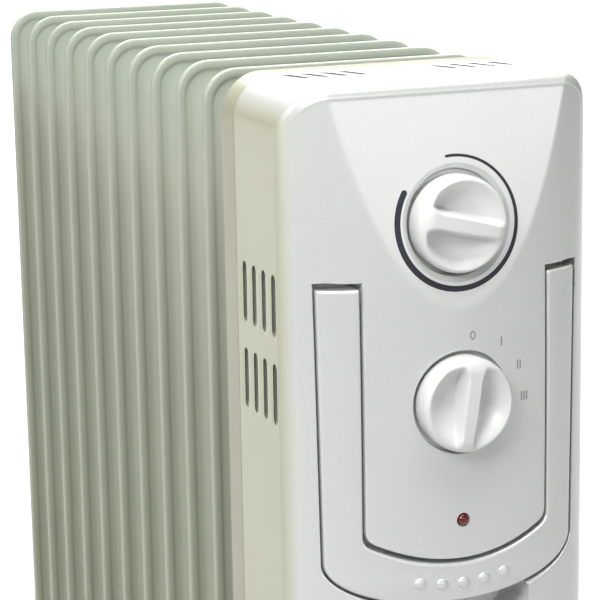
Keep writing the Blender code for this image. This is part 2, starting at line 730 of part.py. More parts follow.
def make_rear_frame():
    """The band round the first fin that closes the housing, with a lip for the mounting plate."""
    back = SEAM_Y + FRAME_DEPTH
    inside = SEAM_Y + LIP_THICK
    frame = prism("rear_frame", housing_ring(0.0, 0.0, 0.0), "y", SEAM_Y, back, frame_plastic())
    inner = housing_ring(FRAME_WALL, 0.004, 0.0015)
    combine(frame, prism("inner", inner, "y", inside, back + OVER))
    lip = housing_ring(FRAME_LIP, 0.002, 0.007)
    combine(frame, prism("lip", lip, "y", SEAM_Y - OVER, back))
    half_x = FIN_WIDTH / 2 + 0.0005
    low = (-half_x, inside, HOUSING_BOTTOM - OVER)
    high = (half_x, back + OVER, HOUSING_BOTTOM + 2 * OVER)
    combine(frame, box("fin_foot", low, high))
    return smooth(frame)


def make_mounting_plate():
    inset = WALL + PLATE_CLEARANCE
    outline = housing_ring(inset, inset, inset)
    plate = prism("mounting_plate", outline, "y", PLATE_Y, PLATE_Y + PLATE_THICK, zinc_plate())
    centre = (0, PLATE_Y, HUB_BOTTOM)
    combine(plate, rod("element_hole", "y", centre, HUB_RADIUS + 0.001, -OVER, OVER, 20))
    for hole in cover_posts(SCREW_RADIUS + 0.0008, PLATE_Y - OVER, PLATE_Y + OVER):
        combine(plate, hole)
    return smooth(plate)


def make_cover_screws():
    head = PLATE_THICK + GAP
    profile = [(SCREW_RADIUS, -SCREW_LENGTH), (SCREW_RADIUS, head), (SCREW_HEAD_RADIUS, head)]
    profile.append((SCREW_HEAD_RADIUS * 0.75, head + 0.0017))
    for name, side in (("cover_screw_left", -1), ("cover_screw_right", 1)):
        smooth(turned(name, "y", (side * POST_X, PLATE_Y, POST_Z), profile, 12, bright_steel()))


def make_control_bracket():
    """A bent sheet that carries both switches, with its flanges on the mounting plate."""
    top = FIN_TOP - BRACKET_TOP_DROP
    foot = FIN_TOP - BRACKET_FOOT_DROP
    outer = [(top, BRACKET_Y), (top, PLATE_FRONT - SHEET), (top + BRACKET_FLANGE, PLATE_FRONT - SHEET)]
    inner = [(top + BRACKET_FLANGE, PLATE_FRONT), (top - SHEET, PLATE_FRONT)]
    inner.append((top - SHEET, BRACKET_Y + SHEET))
    middle = (top + foot) / 2
    lower = [(2 * middle - z, y) for z, y in inner[::-1] + outer[::-1]]
    outline = [(y, z) for z, y in outer + inner + lower]
    bracket = prism("control_bracket", outline, "x", -BRACKET_HALF_WIDTH, BRACKET_HALF_WIDTH, zinc_plate())
    for z in (THERMOSTAT_Z, POWER_Z):
        combine(bracket, rod("hole", "y", (0, BRACKET_Y, z), BRACKET_HOLE, -OVER, OVER, 14))
    return bracket


def add_tabs(body, spacing, z, y):
    half_x, half_z = TAB_HALF
    for x in (-spacing / 2, spacing / 2):
        tab = box("tab", (x - half_x, y - 0.002, z - half_z), (x + half_x, y + TAB_LENGTH, z + half_z))
        combine(body, tab, "UNION")


def make_switches():
    half_x, depth, half_z = THERMOSTAT_BODY
    back = SWITCH_FRONT + depth
    low = (-half_x, SWITCH_FRONT, THERMOSTAT_Z - half_z)
    high = (half_x, back, THERMOSTAT_Z + half_z)
    body = box("thermostat_body", low, high, material("phenolic", (0.10, 0.06, 0.045), 0.45))
    add_tabs(body, 0.016, THERMOSTAT_Z + 0.008, back)
    end = SWITCH_FRONT + SWITCH_DEPTH
    centre = (0, 0, POWER_Z)
    switch = rod("rotary_switch_body", "y", centre, SWITCH_RADIUS, SWITCH_FRONT, end, 20, dark_plastic())
    for z in (-0.008, 0.008):
        add_tabs(switch, 0.014, POWER_Z + z, end)
    smooth(switch)


def knob_back(z):
    return PANEL_Y + facet_depth(z) + WELL_DEPTH - KNOB_LIFT


def make_knob(name, z, pointer):
    """A round knob whose grip bar is left standing between two scooped finger recesses."""
    centre = Vector((0, knob_back(z), z))
    profile = [(KNOB_RADIUS, 0.0), (KNOB_RADIUS, -KNOB_HEIGHT + KNOB_BEVEL)]
    profile += [(KNOB_RADIUS - 0.0009, -KNOB_HEIGHT + 0.0018), (KNOB_RADIUS - KNOB_BEVEL, -KNOB_HEIGHT)]
    knob = turned(name, "y", centre, profile, 24, material("knob_plastic", (0.80, 0.80, 0.78), 0.3))
    for side in (-1, 1):
        place = Matrix.Translation(centre) @ Matrix.Rotation(math.radians(pointer), 4, "Y")
        place = place @ Matrix.Rotation(math.radians(-SCOOP_LEAN * side), 4, "Y")
        place = place @ Matrix.Translation((side * SCOOP_OFFSET, -KNOB_HEIGHT - 0.0012, 0))
        combine(knob, ellipsoid("scoop", KNOB_SCOOP, 12, 7, place))
    combine(knob, rod("bore", "y", centre, SHAFT_RADIUS + GAP, 0.002, -SHAFT_SOCKET, 12))
    return hinge_at(smooth(knob), centre)


def make_shaft(name, z):
    back = knob_back(z)
    end = BRACKET_Y + SHEET - GAP
    shaft = rod(name, "y", (0, 0, z), SHAFT_RADIUS, back - SHAFT_SOCKET + 0.001, end, 12, bright_steel())
    return hinge_at(smooth(shaft), (0, back, z))


def make_indicator():
    centre = (0, PANEL_Y, INDICATOR_Z)
    rim = WALL + 0.0009
    profile = [(0.0, -0.0009), (LENS_RADIUS * 0.55, -0.0007), (LENS_RADIUS, 0.0), (LENS_RADIUS, rim)]
    profile += [(LENS_RIM, rim), (LENS_RIM, rim + 0.0012)]
    smooth(turned("indicator_lens", "y", centre, profile, 14, material("red_lens", (0.20, 0.02, 0.02), 0.15)))
    profile = [(0.0022, rim + 0.0016), (0.0026, rim + 0.0026), (0.0026, rim + 0.0156)]
    glass = material("neon_glass", (0.75, 0.45, 0.30), 0.1)
    smooth(turned("pilot_lamp", "y", centre, profile, 12, glass))


def on_plate(place):
    """A place given as (x, depth ahead of the mounting plate, z)."""
    return (place[0], PLATE_FRONT - place[1], place[2])


def make_fittings():
    """The electrical pieces on the mounting plate, and the gland in the housing's floor."""
    nylon = material("nylon", (0.78, 0.76, 0.68), 0.5)
    block = box("terminal_block", on_plate(BLOCK_LOW), on_plate(BLOCK_HIGH), nylon)
    block_z = (BLOCK_LOW[2] + BLOCK_HIGH[2]) / 2
    for i in (-1, 0, 1):
        centre = (i * BLOCK_PITCH, PLATE_FRONT, block_z)
        combine(block, rod("screw_well", "y", centre, 0.0032, -0.020, -0.009, 10))
    grey = material("grey_plastic", (0.35, 0.36, 0.37), 0.5)
    tilt = box("tilt_switch", on_plate(TILT_LOW), on_plate(TILT_HIGH), grey)
    centre = ((TILT_LOW[0] + TILT_HIGH[0]) / 2, PLATE_FRONT, (TILT_LOW[2] + TILT_HIGH[2]) / 2)
    combine(tilt, rod("cap", "y", centre, 0.009, -0.024, -0.018, 14), "UNION")
    profile = [(0.0085, 0.0), (0.0085, -0.0100), (0.0060, -0.0125)]
    centre = (CUTOUT_PLACE[0], PLATE_FRONT, CUTOUT_PLACE[1])
    ceramic = material("ceramic", (0.82, 0.80, 0.74), 0.4)
    smooth(turned("thermal_cutout", "y", centre, profile, 14, ceramic))
    neck = GLAND_HOLE - 0.0004
    profile = [(0.0090, 0.0060), (0.0090, 0.0028), (neck, 0.0028), (neck, -GAP)]
    profile += [(0.0095, -GAP), (0.0080, -0.0050), (0.0060, -0.0060)]
    centre = (GLAND_X, SEAM_Y - GLAND_AHEAD, HOUSING_BOTTOM)
    gland = turned("cord_gland", "z", centre, profile, 14, dark_plastic())
    combine(gland, rod("bore", "z", centre, 0.0038, -OVER, OVER, 12))
    smooth(gland)


def curve_through(points, count=12):
    """Points along a smooth curve through the given ones."""
    places = [Vector(p) for p in points]
    places = [2 * places[0] - places[1]] + places + [2 * places[-1] - places[-2]]
    spans = len(points) - 1
    made = []
    for k in range(count + 1):
        along = spans * k / count
        i = min(int(along), spans - 1)
        t = along - i
        a, b, c, d = places[i:i + 4]
        bend = (2 * a - 5 * b + 4 * c - d) * t * t + (3 * b - a - 3 * c + d) * t**3
        made.append(0.5 * (2 * b + (c - a) * t + bend))
    return made


def make_wires():
    """Three insulated leads: block to switch, block to thermostat, and block to mounting plate."""
    switch_tip = PLATE_FRONT - (SWITCH_FRONT + SWITCH_DEPTH + TAB_LENGTH)
    thermostat_tip = PLATE_FRONT - (SWITCH_FRONT + THERMOSTAT_BODY[1] + TAB_LENGTH)
    leg_z = FIN_TOP - BRACKET_FOOT_DROP
    over_block = BLOCK_HIGH[2] + 0.0006
    under_block = BLOCK_LOW[2] - 0.0006
    routes = {
        "wire_live": (
            (-BLOCK_PITCH, 0.0085, over_block), (-0.025, 0.013, 0.320), (-WIRE_X, 0.018, leg_z - 0.02),
            (-WIRE_X, 0.020, leg_z + 0.01), (-0.016, 0.020, POWER_Z - 0.007),
            (-0.007, switch_tip - 0.0010, POWER_Z - 0.008)),
        "wire_neutral": (
            (BLOCK_PITCH, 0.0085, over_block), (0.025, 0.013, 0.320), (WIRE_X, 0.018, leg_z - 0.02),
            (WIRE_X, 0.020, 0.520), (0.020, 0.020, THERMOSTAT_Z + 0.002),
            (0.008, thermostat_tip - 0.0010, THERMOSTAT_Z + 0.008)),
        "wire_earth": (
            (0.0, 0.0085, under_block), (0.002, 0.014, 0.190), (0.018, 0.012, 0.160), (0.026, 0.0010, 0.142)),
    }
    colours = ((0.30, 0.10, 0.05), (0.05, 0.12, 0.45), (0.25, 0.45, 0.08))
    for (name, route), colour in zip(routes.items(), colours):
        points = curve_through([on_plate(place) for place in route])
        tube(name, points, WIRE_RADIUS, material(name, colour, 0.5), 1)


# ---------------------------------------------------------------- pull handle
def make_pull_handle():
    handle = housing_solid("pull_handle", 0.0, SEAM_Y)
    combine(handle, handle_prism(0.0), "INTERSECT")
    combine(handle, housing_solid("core", HANDLE_THICK, SEAM_Y + 0.03))
    top = FIN_TOP - HANDLE_TOP_DROP
    start, end = (PIVOT_Y + depth for depth in ARM_BACK_CUT)
    outline = [(start, top), (end, PIVOT_Z), (end + OVER, PIVOT_Z), (end + OVER, top + OVER)]
    outline.append((start, top + OVER))
    combine(handle, prism("arm_back", outline, "x", -0.1, 0.1))
    for i in range(BUMP_COUNT):
        x = (i - (BUMP_COUNT - 1) / 2) * BUMP_PITCH
        z = FIN_TOP - BUMP_DROP + 0.0020 * (x / (2 * BUMP_PITCH)) ** 2
        place = Matrix.Translation((x, PANEL_Y + nose_curve(x, 0.0), z))
        combine(handle, ellipsoid("bump", BUMP_RADII, 8, 4, place), "UNION")
    for way in pin_ways(PIN_RADIUS + GAP, ARM_INNER - 0.002, PIN_END + 0.0006):
        combine(handle, way)
    handle.data.materials.append(cover_plastic())
    return hinge_at(smooth(handle, 25), (0, PIVOT_Y, PIVOT_Z))


def make_handle_pins():
    for name, side in (("handle_pin_left", -1), ("handle_pin_right", 1)):
        centre = (0, PIVOT_Y, PIVOT_Z)
        smooth(rod(name, "x", centre, PIN_RADIUS, side * PIN_START, side * PIN_END, 12, bright_steel()))


# ---------------------------------------------------------------- feet
def make_foot(name, y):
    """A pressed steel foot plate: a shallow tray turned upside down, under two neighbouring fins."""
    half_y = FOOT_WIDTH / 2
    outlines = []
    for inset in (0.0, FOOT_SHEET):
        ring = rounded_rect(FOOT_LENGTH / 2 - inset, -half_y + inset, half_y - inset, half_y * 0.8 - inset, 2)
        outlines.append([(x, y + v) for x, v in ring])
    steel = material("foot_steel", (0.20, 0.21, 0.21), 0.45, 0.6)
    plate = prism(name, outlines[0], "z", FOOT_SKIRT, FOOT_TOP, steel)
    combine(plate, prism("tray", outlines[1], "z", FOOT_SKIRT - OVER, FOOT_TOP - FOOT_SHEET))
    for x, radius in ((BOLT_BEND, BOLT_ROD + 0.0005), (CASTER_X, STEM_RADIUS + 0.0005)):
        for side in (-1, 1):
            combine(plate, rod("hole", "z", (side * x, y, FOOT_TOP), radius, -OVER, OVER, 8))
    return smooth(plate)


def make_u_bolt(name, y):
    bend = [(BOLT_BEND * a, HUB_BOTTOM + BOLT_BEND * b) for a, b in circle(1.0, 20)[:11]]
    route = [(BOLT_BEND, BOLT_FOOT)] + bend + [(-BOLT_BEND, BOLT_FOOT)]
    return tube(name, [(x, y, z) for x, z in route], BOLT_ROD, bright_steel(), 2)


def make_wing_nut(name, x, y):
    centre = (x, y, FLANGE_UNDER)
    profile = [(NUT_RADII[0], 0.0), (NUT_RADII[1], -NUT_HEIGHT)]
    nut = turned(name, "z", centre, profile, 12, bright_steel())
    wing = ((0.0040, -0.0010), (0.0085, -0.0020), (0.0125, -0.0075), (0.0118, -0.0105), (0.0085, -0.0095),
            (0.0038, -0.0060))
    for side in (-1, 1):
        outline = [(y + side * a, FLANGE_UNDER + b) for a, b in wing]
        combine(nut, prism("wing", outline, "x", x - WING_HALF, x + WING_HALF), "UNION")
    combine(nut, rod("bore", "z", centre, BOLT_ROD + GAP, OVER, -2 * OVER, 10))
    return smooth(nut)


def make_fork(place, x, y, steel):
    low, high = FORK_BRIDGE
    fork = rod(f"caster_fork_{place}", "z", (x, y, 0), FORK_HEAD_RADIUS, low, high, 12, steel)
    over_plate = FOOT_TOP + GAP + 0.0002
    stem = [(COLLAR_RADIUS, high - 0.001), (COLLAR_RADIUS, FLANGE_UNDER), (STEM_RADIUS, FLANGE_UNDER)]
    stem += [(STEM_RADIUS, over_plate), (RIVET_RADIUS, over_plate)]
    stem.append((RIVET_RADIUS * 0.8, FOOT_TOP + RIVET_HEIGHT))
    combine(fork, turned("stem", "z", (x, y, 0), stem, 8), "UNION")
    axle_y = y + TRAIL
    tip = [(axle_y + CHEEK_TIP * math.sin(t), WHEEL_RADIUS - CHEEK_TIP * math.cos(t))
           for t in (math.radians(a) for a in range(-90, 91, 45))]
    outline = [(y - 0.0080, low + 0.0022)] + tip + [(y + 0.0100, low + 0.0022)]
    start = WHEEL_HALF + CHEEK_GAP
    for side in (-1, 1):
        cheek = prism("cheek", outline, "x", x + side * start, x + side * (start + CHEEK_THICK))
        combine(fork, cheek, "UNION")
    axle = (x, axle_y, WHEEL_RADIUS)
    combine(fork, rod("axle_hole", "x", axle, AXLE_RADIUS + GAP, -2 * OVER, 2 * OVER, 8))
    return hinge_at(smooth(fork), (x, y, low))


def make_wheel(place, centre):
    """The wheel; its tread has a flat side on the floor."""
    tread = WHEEL_RADIUS / math.cos(math.pi / WHEEL_SIDES)
    half = [(tread - 0.0050, WHEEL_HALF - 0.0012), (tread - 0.0028, WHEEL_HALF), (tread, WHEEL_HALF - 0.0022)]
    profile = [(radius, -along) for radius, along in half] + half[::-1]
    start = -math.pi / 2 - math.pi / WHEEL_SIDES
    wheel = turned(f"caster_wheel_{place}", "x", centre, profile, WHEEL_SIDES, dark_plastic(), start)
    combine(wheel, rod("bore", "x", centre, AXLE_RADIUS + GAP, -2 * OVER, 2 * OVER, 8))
    return hinge_at(smooth(wheel), centre)


def make_caster(place, x, y):
    """A swivelling fork with its stem, an axle and one wheel that trails behind the stem."""
    make_fork(place, x, y, material("caster_steel", (0.55, 0.56, 0.57), 0.35, 0.9))
    centre = (x, y + TRAIL, WHEEL_RADIUS)
    end = WHEEL_HALF + CHEEK_GAP + CHEEK_THICK + 0.0012
    smooth(rod(f"caster_axle_{place}", "x", centre, AXLE_RADIUS, -end, end, 8, bright_steel()))
    make_wheel(place, centre)


def make_feet():
    for end, gap_index in (("front", 0.5), ("rear", FIN_COUNT - 1.5)):
        y = FIRST_FIN_Y + gap_index * FIN_PITCH
        make_foot(f"foot_plate_{end}", y)
        make_u_bolt(f"u_bolt_{end}", y)
        for side, sign in (("left", -1), ("right", 1)):
            make_wing_nut(f"wing_nut_{end}_{side}", sign * BOLT_BEND, y)
            make_caster(f"{end}_{side}", sign * CASTER_X, y)


def main():
    clear_scene()
    make_fins()
    make_elements()
    make_filler_plug()
    make_front_cover()
    make_rear_frame()
    make_mounting_plate()
    make_cover_screws()
    make_control_bracket()
    make_switches()
    make_knob("thermostat_knob", THERMOSTAT_Z, THERMOSTAT_POINTER)
    make_knob("power_knob", POWER_Z, POWER_POINTER)
    make_shaft("thermostat_shaft", THERMOSTAT_Z)
    make_shaft("switch_shaft", POWER_Z)
    make_indicator()
    make_fittings()
    make_wires()
    make_pull_handle()
    make_handle_pins()
    make_feet()


main()
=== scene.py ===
"""Looks for the oil filled radiator heater: fine shells, knobs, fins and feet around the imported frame.

Metres, +Z up, the control panel faces -Y. A drop is measured down from the fin tops, and a depth back
from the control panel's foremost line.
"""

import json
import math

import bmesh
import bpy
import numpy as np
from mathutils import Matrix, Vector


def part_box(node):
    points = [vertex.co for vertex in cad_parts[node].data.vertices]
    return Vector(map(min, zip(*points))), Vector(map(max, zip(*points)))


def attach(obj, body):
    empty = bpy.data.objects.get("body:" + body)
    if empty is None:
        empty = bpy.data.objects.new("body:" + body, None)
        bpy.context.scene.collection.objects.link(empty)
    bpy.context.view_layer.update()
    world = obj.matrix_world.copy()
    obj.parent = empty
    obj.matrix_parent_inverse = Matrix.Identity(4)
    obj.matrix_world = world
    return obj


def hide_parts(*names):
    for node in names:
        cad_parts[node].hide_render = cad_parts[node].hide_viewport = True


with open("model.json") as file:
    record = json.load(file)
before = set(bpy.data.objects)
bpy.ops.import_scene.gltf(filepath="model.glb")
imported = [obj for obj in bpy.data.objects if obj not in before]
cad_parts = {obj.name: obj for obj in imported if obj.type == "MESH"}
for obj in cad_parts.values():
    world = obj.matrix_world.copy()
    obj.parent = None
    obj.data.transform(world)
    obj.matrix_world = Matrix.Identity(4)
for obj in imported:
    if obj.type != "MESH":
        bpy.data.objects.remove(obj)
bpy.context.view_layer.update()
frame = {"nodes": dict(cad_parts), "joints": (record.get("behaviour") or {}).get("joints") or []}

# ---- places read from the frame
cover_low, cover_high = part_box("front_cover")
fin_low, fin_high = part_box("fin_02")
FIN_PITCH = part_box("fin_03")[0].y - fin_low.y
FIRST_FIN_Y = (fin_low.y + fin_high.y) / 2 - FIN_PITCH
FIN_TOP = fin_high.z
FIN_BOTTOM = fin_low.z
FIN_HALF = fin_high.x
FIN_MIDDLE = (FIN_TOP + FIN_BOTTOM) / 2
FIN_COUNT = sum(name.startswith("fin_") for name in frame["nodes"])
HALF_WIDTH = cover_high.x
COVER_TOP = cover_high.z
COVER_BOTTOM = cover_low.z
COVER_BACK = cover_high.y
SEAM_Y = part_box("rear_frame")[0].y
PANEL_Y = FIRST_FIN_Y - 0.0893
PIVOT = Vector(next(j["pos_m"] for j in frame["joints"] if j["name"] == "handle_swing"))

# ---- sizes shared with the CAD part
NOSE_DEPTH, NOSE_HALF = 0.0350, HALF_WIDTH + 0.0004
CORNER, WALL = 0.0200, 0.0025
LOWER_FOOT, LOWER_SLOPE, LOWER_CURVE = 0.180, 0.0194, 0.88
UPPER_FOOT, UPPER_SLOPE = 0.100, 0.1256
UPPER_START = LOWER_SLOPE * (LOWER_FOOT - UPPER_FOOT)
THERMOSTAT_Z = FIN_TOP - 0.0603
POWER_Z = FIN_TOP - 0.1415
INDICATOR_Z = FIN_TOP - 0.1967
INDICATOR_RADIUS = 0.0031
WELL_RADIUS, DISH_RADIUS, WELL_DEPTH = 0.0238, 0.0262, 0.0050
KNOB_RADIUS, KNOB_HEIGHT, KNOB_LIFT = 0.0219, 0.0145, 0.0012
THERMOSTAT_POINTER, POWER_POINTER = 284.0, 8.0
HANDLE_THICK, HANDLE_GAP, HANDLE_TOP_GAP = 0.0110, 0.0012, 0.0028
HANDLE_TOP = FIN_TOP - 0.0868
ARM_OUTER_TOP, ARM_OUTER_FOOT, ARM_INNER = 0.0645, 0.0628, 0.0467
ARM_FOOT = FIN_TOP - 0.2008
BAR_INNER = FIN_TOP - 0.2170
BAR_OUTER = FIN_TOP - 0.2360
BAR_CORNER = FIN_TOP - 0.2140
RECESS_Z = FIN_TOP - 0.2380
RECESS_HALF, RECESS_DEPTH = (0.036, 0.019), 0.0240
SIDE_VENT, SIDE_VENT_START, SIDE_VENT_PITCH = (0.0285, 0.0050), 0.0097, 0.0118
SIDE_VENT_DROPS = (0.0965, 0.1375)
TOP_VENT, TOP_VENT_START, TOP_VENT_PITCH, TOP_VENT_TURN = (0.0175, 0.0046), 0.0140, 0.0095, 108
TOP_VENT_X = 0.0375
PIN_WAY, POST = 0.0021, (0.063, 0.300)
GLAND_X, GLAND_START = 0.045, 0.022
FRAME_LENGTH = 0.016
HUB_INSET = 0.0470
PLATE_TOP, PLATE_SHEET, GAP = 0.0525, 0.0016, 0.0003
UNDER_PLATE = PLATE_TOP - PLATE_SHEET - GAP
BOLT_X, BOLT_ROD = 0.0205, 0.0025
CASTER_X, TRAIL, WHEEL_RADIUS, AXLE_BORE = 0.105, 0.0090, 0.0175, 0.0023

# ---- sizes of the looks alone
AHEAD = 0.03                                        # how far a cutter reaches in front of the panel
LOWER_SOFT, UPPER_SOFT = 0.0006, 0.0003             # rounding where the panel's fields meet
HANDLE_EDGE, HANDLE_CROWN = 0.0014, 0.0004
BAR_LEAN, BUMP_PITCH, BUMP_HEIGHT = 0.0032, 0.0106, 0.0019
KNOB_EDGE, KNOB_BAR, SCOOP_DEPTH = 0.0060, 0.0030, 0.0088
ARC_START, ARC_SPAN, ARC_RADIUS = -8, 312, 0.0305
SWITCH_MARKS = ((10, 0.0308), (38, 0.0328), (65, 0.0328), (92, 0.0326))
RIM_INSET, SWELL_WIDTH, FLANGE_HALF, SWELL_HALF = 0.0078, 0.0100, 0.0009, 0.0056
PLATE_HALF = 0.0011                                 # half the thickness of a wing or a cheek


# ---- mesh tools
def link(name, data):
    made = bpy.data.objects.new(name, data)
    bpy.context.scene.collection.objects.link(made)
    return made


def remove(made):
    bpy.data.objects.remove(made, do_unlink=True)


def finished(made, look, body, *nodes, angle=32.0):
    """Shades a piece, gives it its look, ties it to its body, and hides the CAD nodes it stands for."""
    made.data.materials.clear()
    made.data.materials.append(looks[look])
    for face in made.data.polygons:
        face.material_index = 0
    made.data.shade_smooth()
    made.data.set_sharp_from_angle(angle=math.radians(angle))
    weighted = made.modifiers.new("Normals", "WEIGHTED_NORMAL")
    weighted.keep_sharp = True
    weighted.weight = 100
    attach(made, body)
    if nodes:
        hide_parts(*nodes)


def closed_mesh(name, points, faces):
    """An object from points and faces, with doubled points merged and its faces pointing out."""
    mesh = bpy.data.meshes.new(name)
    mesh.from_pydata(points.tolist(), [], faces)
    shape = bmesh.new()
    shape.from_mesh(mesh)
    bmesh.ops.remove_doubles(shape, verts=shape.verts, dist=1e-6)
    bmesh.ops.recalc_face_normals(shape, faces=shape.faces)
    shape.to_mesh(mesh)
    shape.free()
    return link(name, mesh)


def solid(name, rings, closed=False):
    """A mesh through rings of equal length. Open rings are capped with one face at each end."""
    rings = np.asarray(rings, float)
    count, width = rings.shape[:2]
    faces = []
    for i in range(count if closed else count - 1):
        a, b = i * width, (i + 1) % count * width
        faces += [(a + j, a + (j + 1) % width, b + (j + 1) % width, b + j) for j in range(width)]
    if not closed:
        faces.append(tuple(range(width))[::-1])
        faces.append(tuple(range((count - 1) * width, count * width)))
    return closed_mesh(name, rings.reshape(-1, 3), faces)


def slab(name, front, back, walls=()):
    """A closed block between two sheets of points; walls are sheets whose borders its sides pass through."""
    rows, cols = front.shape[:2]
    points = [front.reshape(-1, 3), back.reshape(-1, 3)]
    other = rows * cols
    faces = []
    for i in range(rows - 1):
        for j in range(cols - 1):
            a, b = i * cols + j, (i + 1) * cols + j
            faces.append((a, a + 1, b + 1, b))
            faces.append((other + a, other + b, other + b + 1, other + a + 1))
    edge = list(range(cols))
    edge += [i * cols + cols - 1 for i in range(1, rows)]
    edge += [(rows - 1) * cols + j for j in range(cols - 2, -1, -1)]
    edge += [i * cols for i in range(rows - 2, 0, -1)]
    borders = [edge]
    start = 2 * other
    for wall in walls:
        points.append(wall.reshape(-1, 3)[edge])
        borders.append(list(range(start, start + len(edge))))
        start += len(edge)
    borders.append([other + k for k in edge])
    for upper, lower in zip(borders, borders[1:]):
        for k in range(len(edge)):
            n = (k + 1) % len(edge)
            faces.append((upper[k], lower[k], lower[n], upper[n]))
    return closed_mesh(name, np.concatenate(points), faces)


def join(pieces):
    """One mesh object out of several that don't touch."""
    shape = bmesh.new()
    for piece in pieces:
        shape.from_mesh(piece.data)
        remove(piece)
    mesh = bpy.data.meshes.new("joined")
    shape.to_mesh(mesh)
    shape.free()
    return link("joined", mesh)


def combine(base, tool, operation="DIFFERENCE"):
    """Applies one exact Boolean to base, and removes the tool."""
    modifier = base.modifiers.new("Combine", "BOOLEAN")
    modifier.operation = operation
    modifier.solver = "EXACT"
    modifier.object = tool
    bpy.context.view_layer.update()
    graph = bpy.context.evaluated_depsgraph_get()
    result = bpy.data.meshes.new_from_object(base.evaluated_get(graph))
    base.modifiers.clear()
    base.data = result
    remove(tool)
    return base


def copy_to(shape, name, offset):
    made = shape.copy()
    made.name = name
    bpy.context.scene.collection.objects.link(made)
    made.location = offset
    bpy.context.view_layer.update()
    return made


def circle(radius, segments, centre=(0.0, 0.0), start=0.0):
    t = start + np.arange(segments) * 2 * np.pi / segments
    return np.stack([centre[0] + radius * np.cos(t), centre[1] + radius * np.sin(t)], 1)


def placed(points, axis, along):
    """Points (a, b) across an axis, at along on it."""
    a, b = points[:, 0], points[:, 1]
    fill = np.full(len(points), float(along))
    return np.stack({"x": (fill, a, b), "y": (a, fill, b), "z": (a, b, fill)}[axis], 1)


def prism(name, outline, axis, ends):
    """A straight block with one outline across its axis."""
    return solid(name, [placed(outline, axis, end) for end in ends])


def turned(name, axis, centre, profile, segments, start=0.0):
    """A turned solid; profile holds (radius, distance along the axis from the centre)."""
    across = {"x": (centre[1], centre[2]), "y": (centre[0], centre[2]), "z": (centre[0], centre[1])}[axis]
    origin = centre["xyz".index(axis)]
    rings = [placed(circle(max(r, 1e-5), segments, across, start), axis, origin + d) for r, d in profile]
    return solid(name, rings)


def rounded_rect(half_x, low, high, radius, steps):
    """Points (x, z) round a rectangle, anticlockwise from its lower right corner."""
    points = []
    corners = ((1, low + radius), (1, high - radius), (-1, high - radius), (-1, low + radius))
    for quarter, (side, z) in enumerate(corners, -1):
        for i in range(steps + 1):
            t = math.radians(90 * quarter + 90 * i / steps)
            points.append((side * (half_x - radius) + radius * math.cos(t), z + radius * math.sin(t)))
    return np.array(points)


# ---- the panel's shape
def smooth_step(t):
    t = np.clip(t, 0.0, 1.0)
    return t * t * (3 - 2 * t)


def soft_max(a, b, width):
    near = np.clip(width - np.abs(a - b), 0.0, None) / width
    return np.maximum(a, b) + near * near * width / 4


def nose(x, inset=0.0):
    half = NOSE_HALF - inset
    reach = np.clip(np.abs(x) / half, 0.0, 1.0)
    return inset + (NOSE_DEPTH - inset) * (1 - np.sqrt(1 - reach * reach))


def panel_depth(x, z, inset=0.0):
    """Depth of the control panel's surface: the curved nose, cut by two flatter fields."""
    drop = FIN_TOP - z
    curve = nose(x, inset)
    lower = inset + LOWER_CURVE * (curve - inset) + LOWER_SLOPE * (LOWER_FOOT - drop)
    upper = inset + UPPER_START + UPPER_SLOPE * (UPPER_FOOT - drop)
    return soft_max(soft_max(curve, lower, LOWER_SOFT), upper, UPPER_SOFT)


def edge_map(x, z, inset=0.0):
    """Bends a rectangle's corners to the housing's round ones. Returns x, z, edge distance and upwardness."""
    radius = CORNER - inset
    half, low, high = HALF_WIDTH - inset, COVER_BOTTOM + inset, COVER_TOP - inset
    a = (np.abs(x) - (half - radius)) / radius
    above = (z - (high - radius)) / radius
    below = ((low + radius) - z) / radius
    b = np.maximum(above, below)
    up = np.where(above > below, 1.0, -1.0)
    corner = (a > 0) & (b > 0)
    rho = np.maximum(a, b)
    safe_a, safe_b = np.where(a > 0, a, 1.0), np.where(b > 0, b, 1.0)
    turn = np.where(a >= b, np.pi / 4 * b / safe_a, np.pi / 2 - np.pi / 4 * a / safe_b)
    new_x = np.sign(x) * (half - radius + radius * rho * np.cos(turn))
    centre_z = np.where(up > 0, high - radius, low + radius)
    new_z = centre_z + up * radius * rho * np.sin(turn)
    straight = np.minimum(half - np.abs(x), np.minimum(high - z, z - low))
    distance = np.where(corner, radius * (1 - rho), straight)
    lift = np.where(corner, np.sin(turn), np.where(b > 0, 1.0, 0.0))
    return np.where(corner, new_x, x), np.where(corner, new_z, z), np.maximum(distance, 0.0), lift * up


def round_over(distance, radius):
    """How far a surface falls back at a distance from an edge that is rounded with the radius."""
    radius = np.maximum(radius, 1e-9)
    inside = np.clip(radius - distance, 0.0, radius)
    return radius - np.sqrt(radius * radius - inside * inside)


def at_depth(x, z, depth):
    return np.stack([x, PANEL_Y + depth + 0.0 * x, z], -1)


# ---- the handle's outline
def bezier(a, b, c, d, steps):
    t = np.linspace(0, 1, steps + 1)[:, None]
    a, b, c, d = (np.array(p, float) for p in (a, b, c, d))
    return a * (1 - t) ** 3 + 3 * b * t * (1 - t) ** 2 + 3 * c * t * t * (1 - t) + d * t**3


def even(path, count):
    """The path's points at equal distances along it."""
    steps = np.hypot(*np.diff(path, axis=0).T)
    along = np.concatenate([[0], np.cumsum(steps)])
    where = np.linspace(0, along[-1], count)
    return np.stack([np.interp(where, along, path[:, k]) for k in (0, 1)], 1)


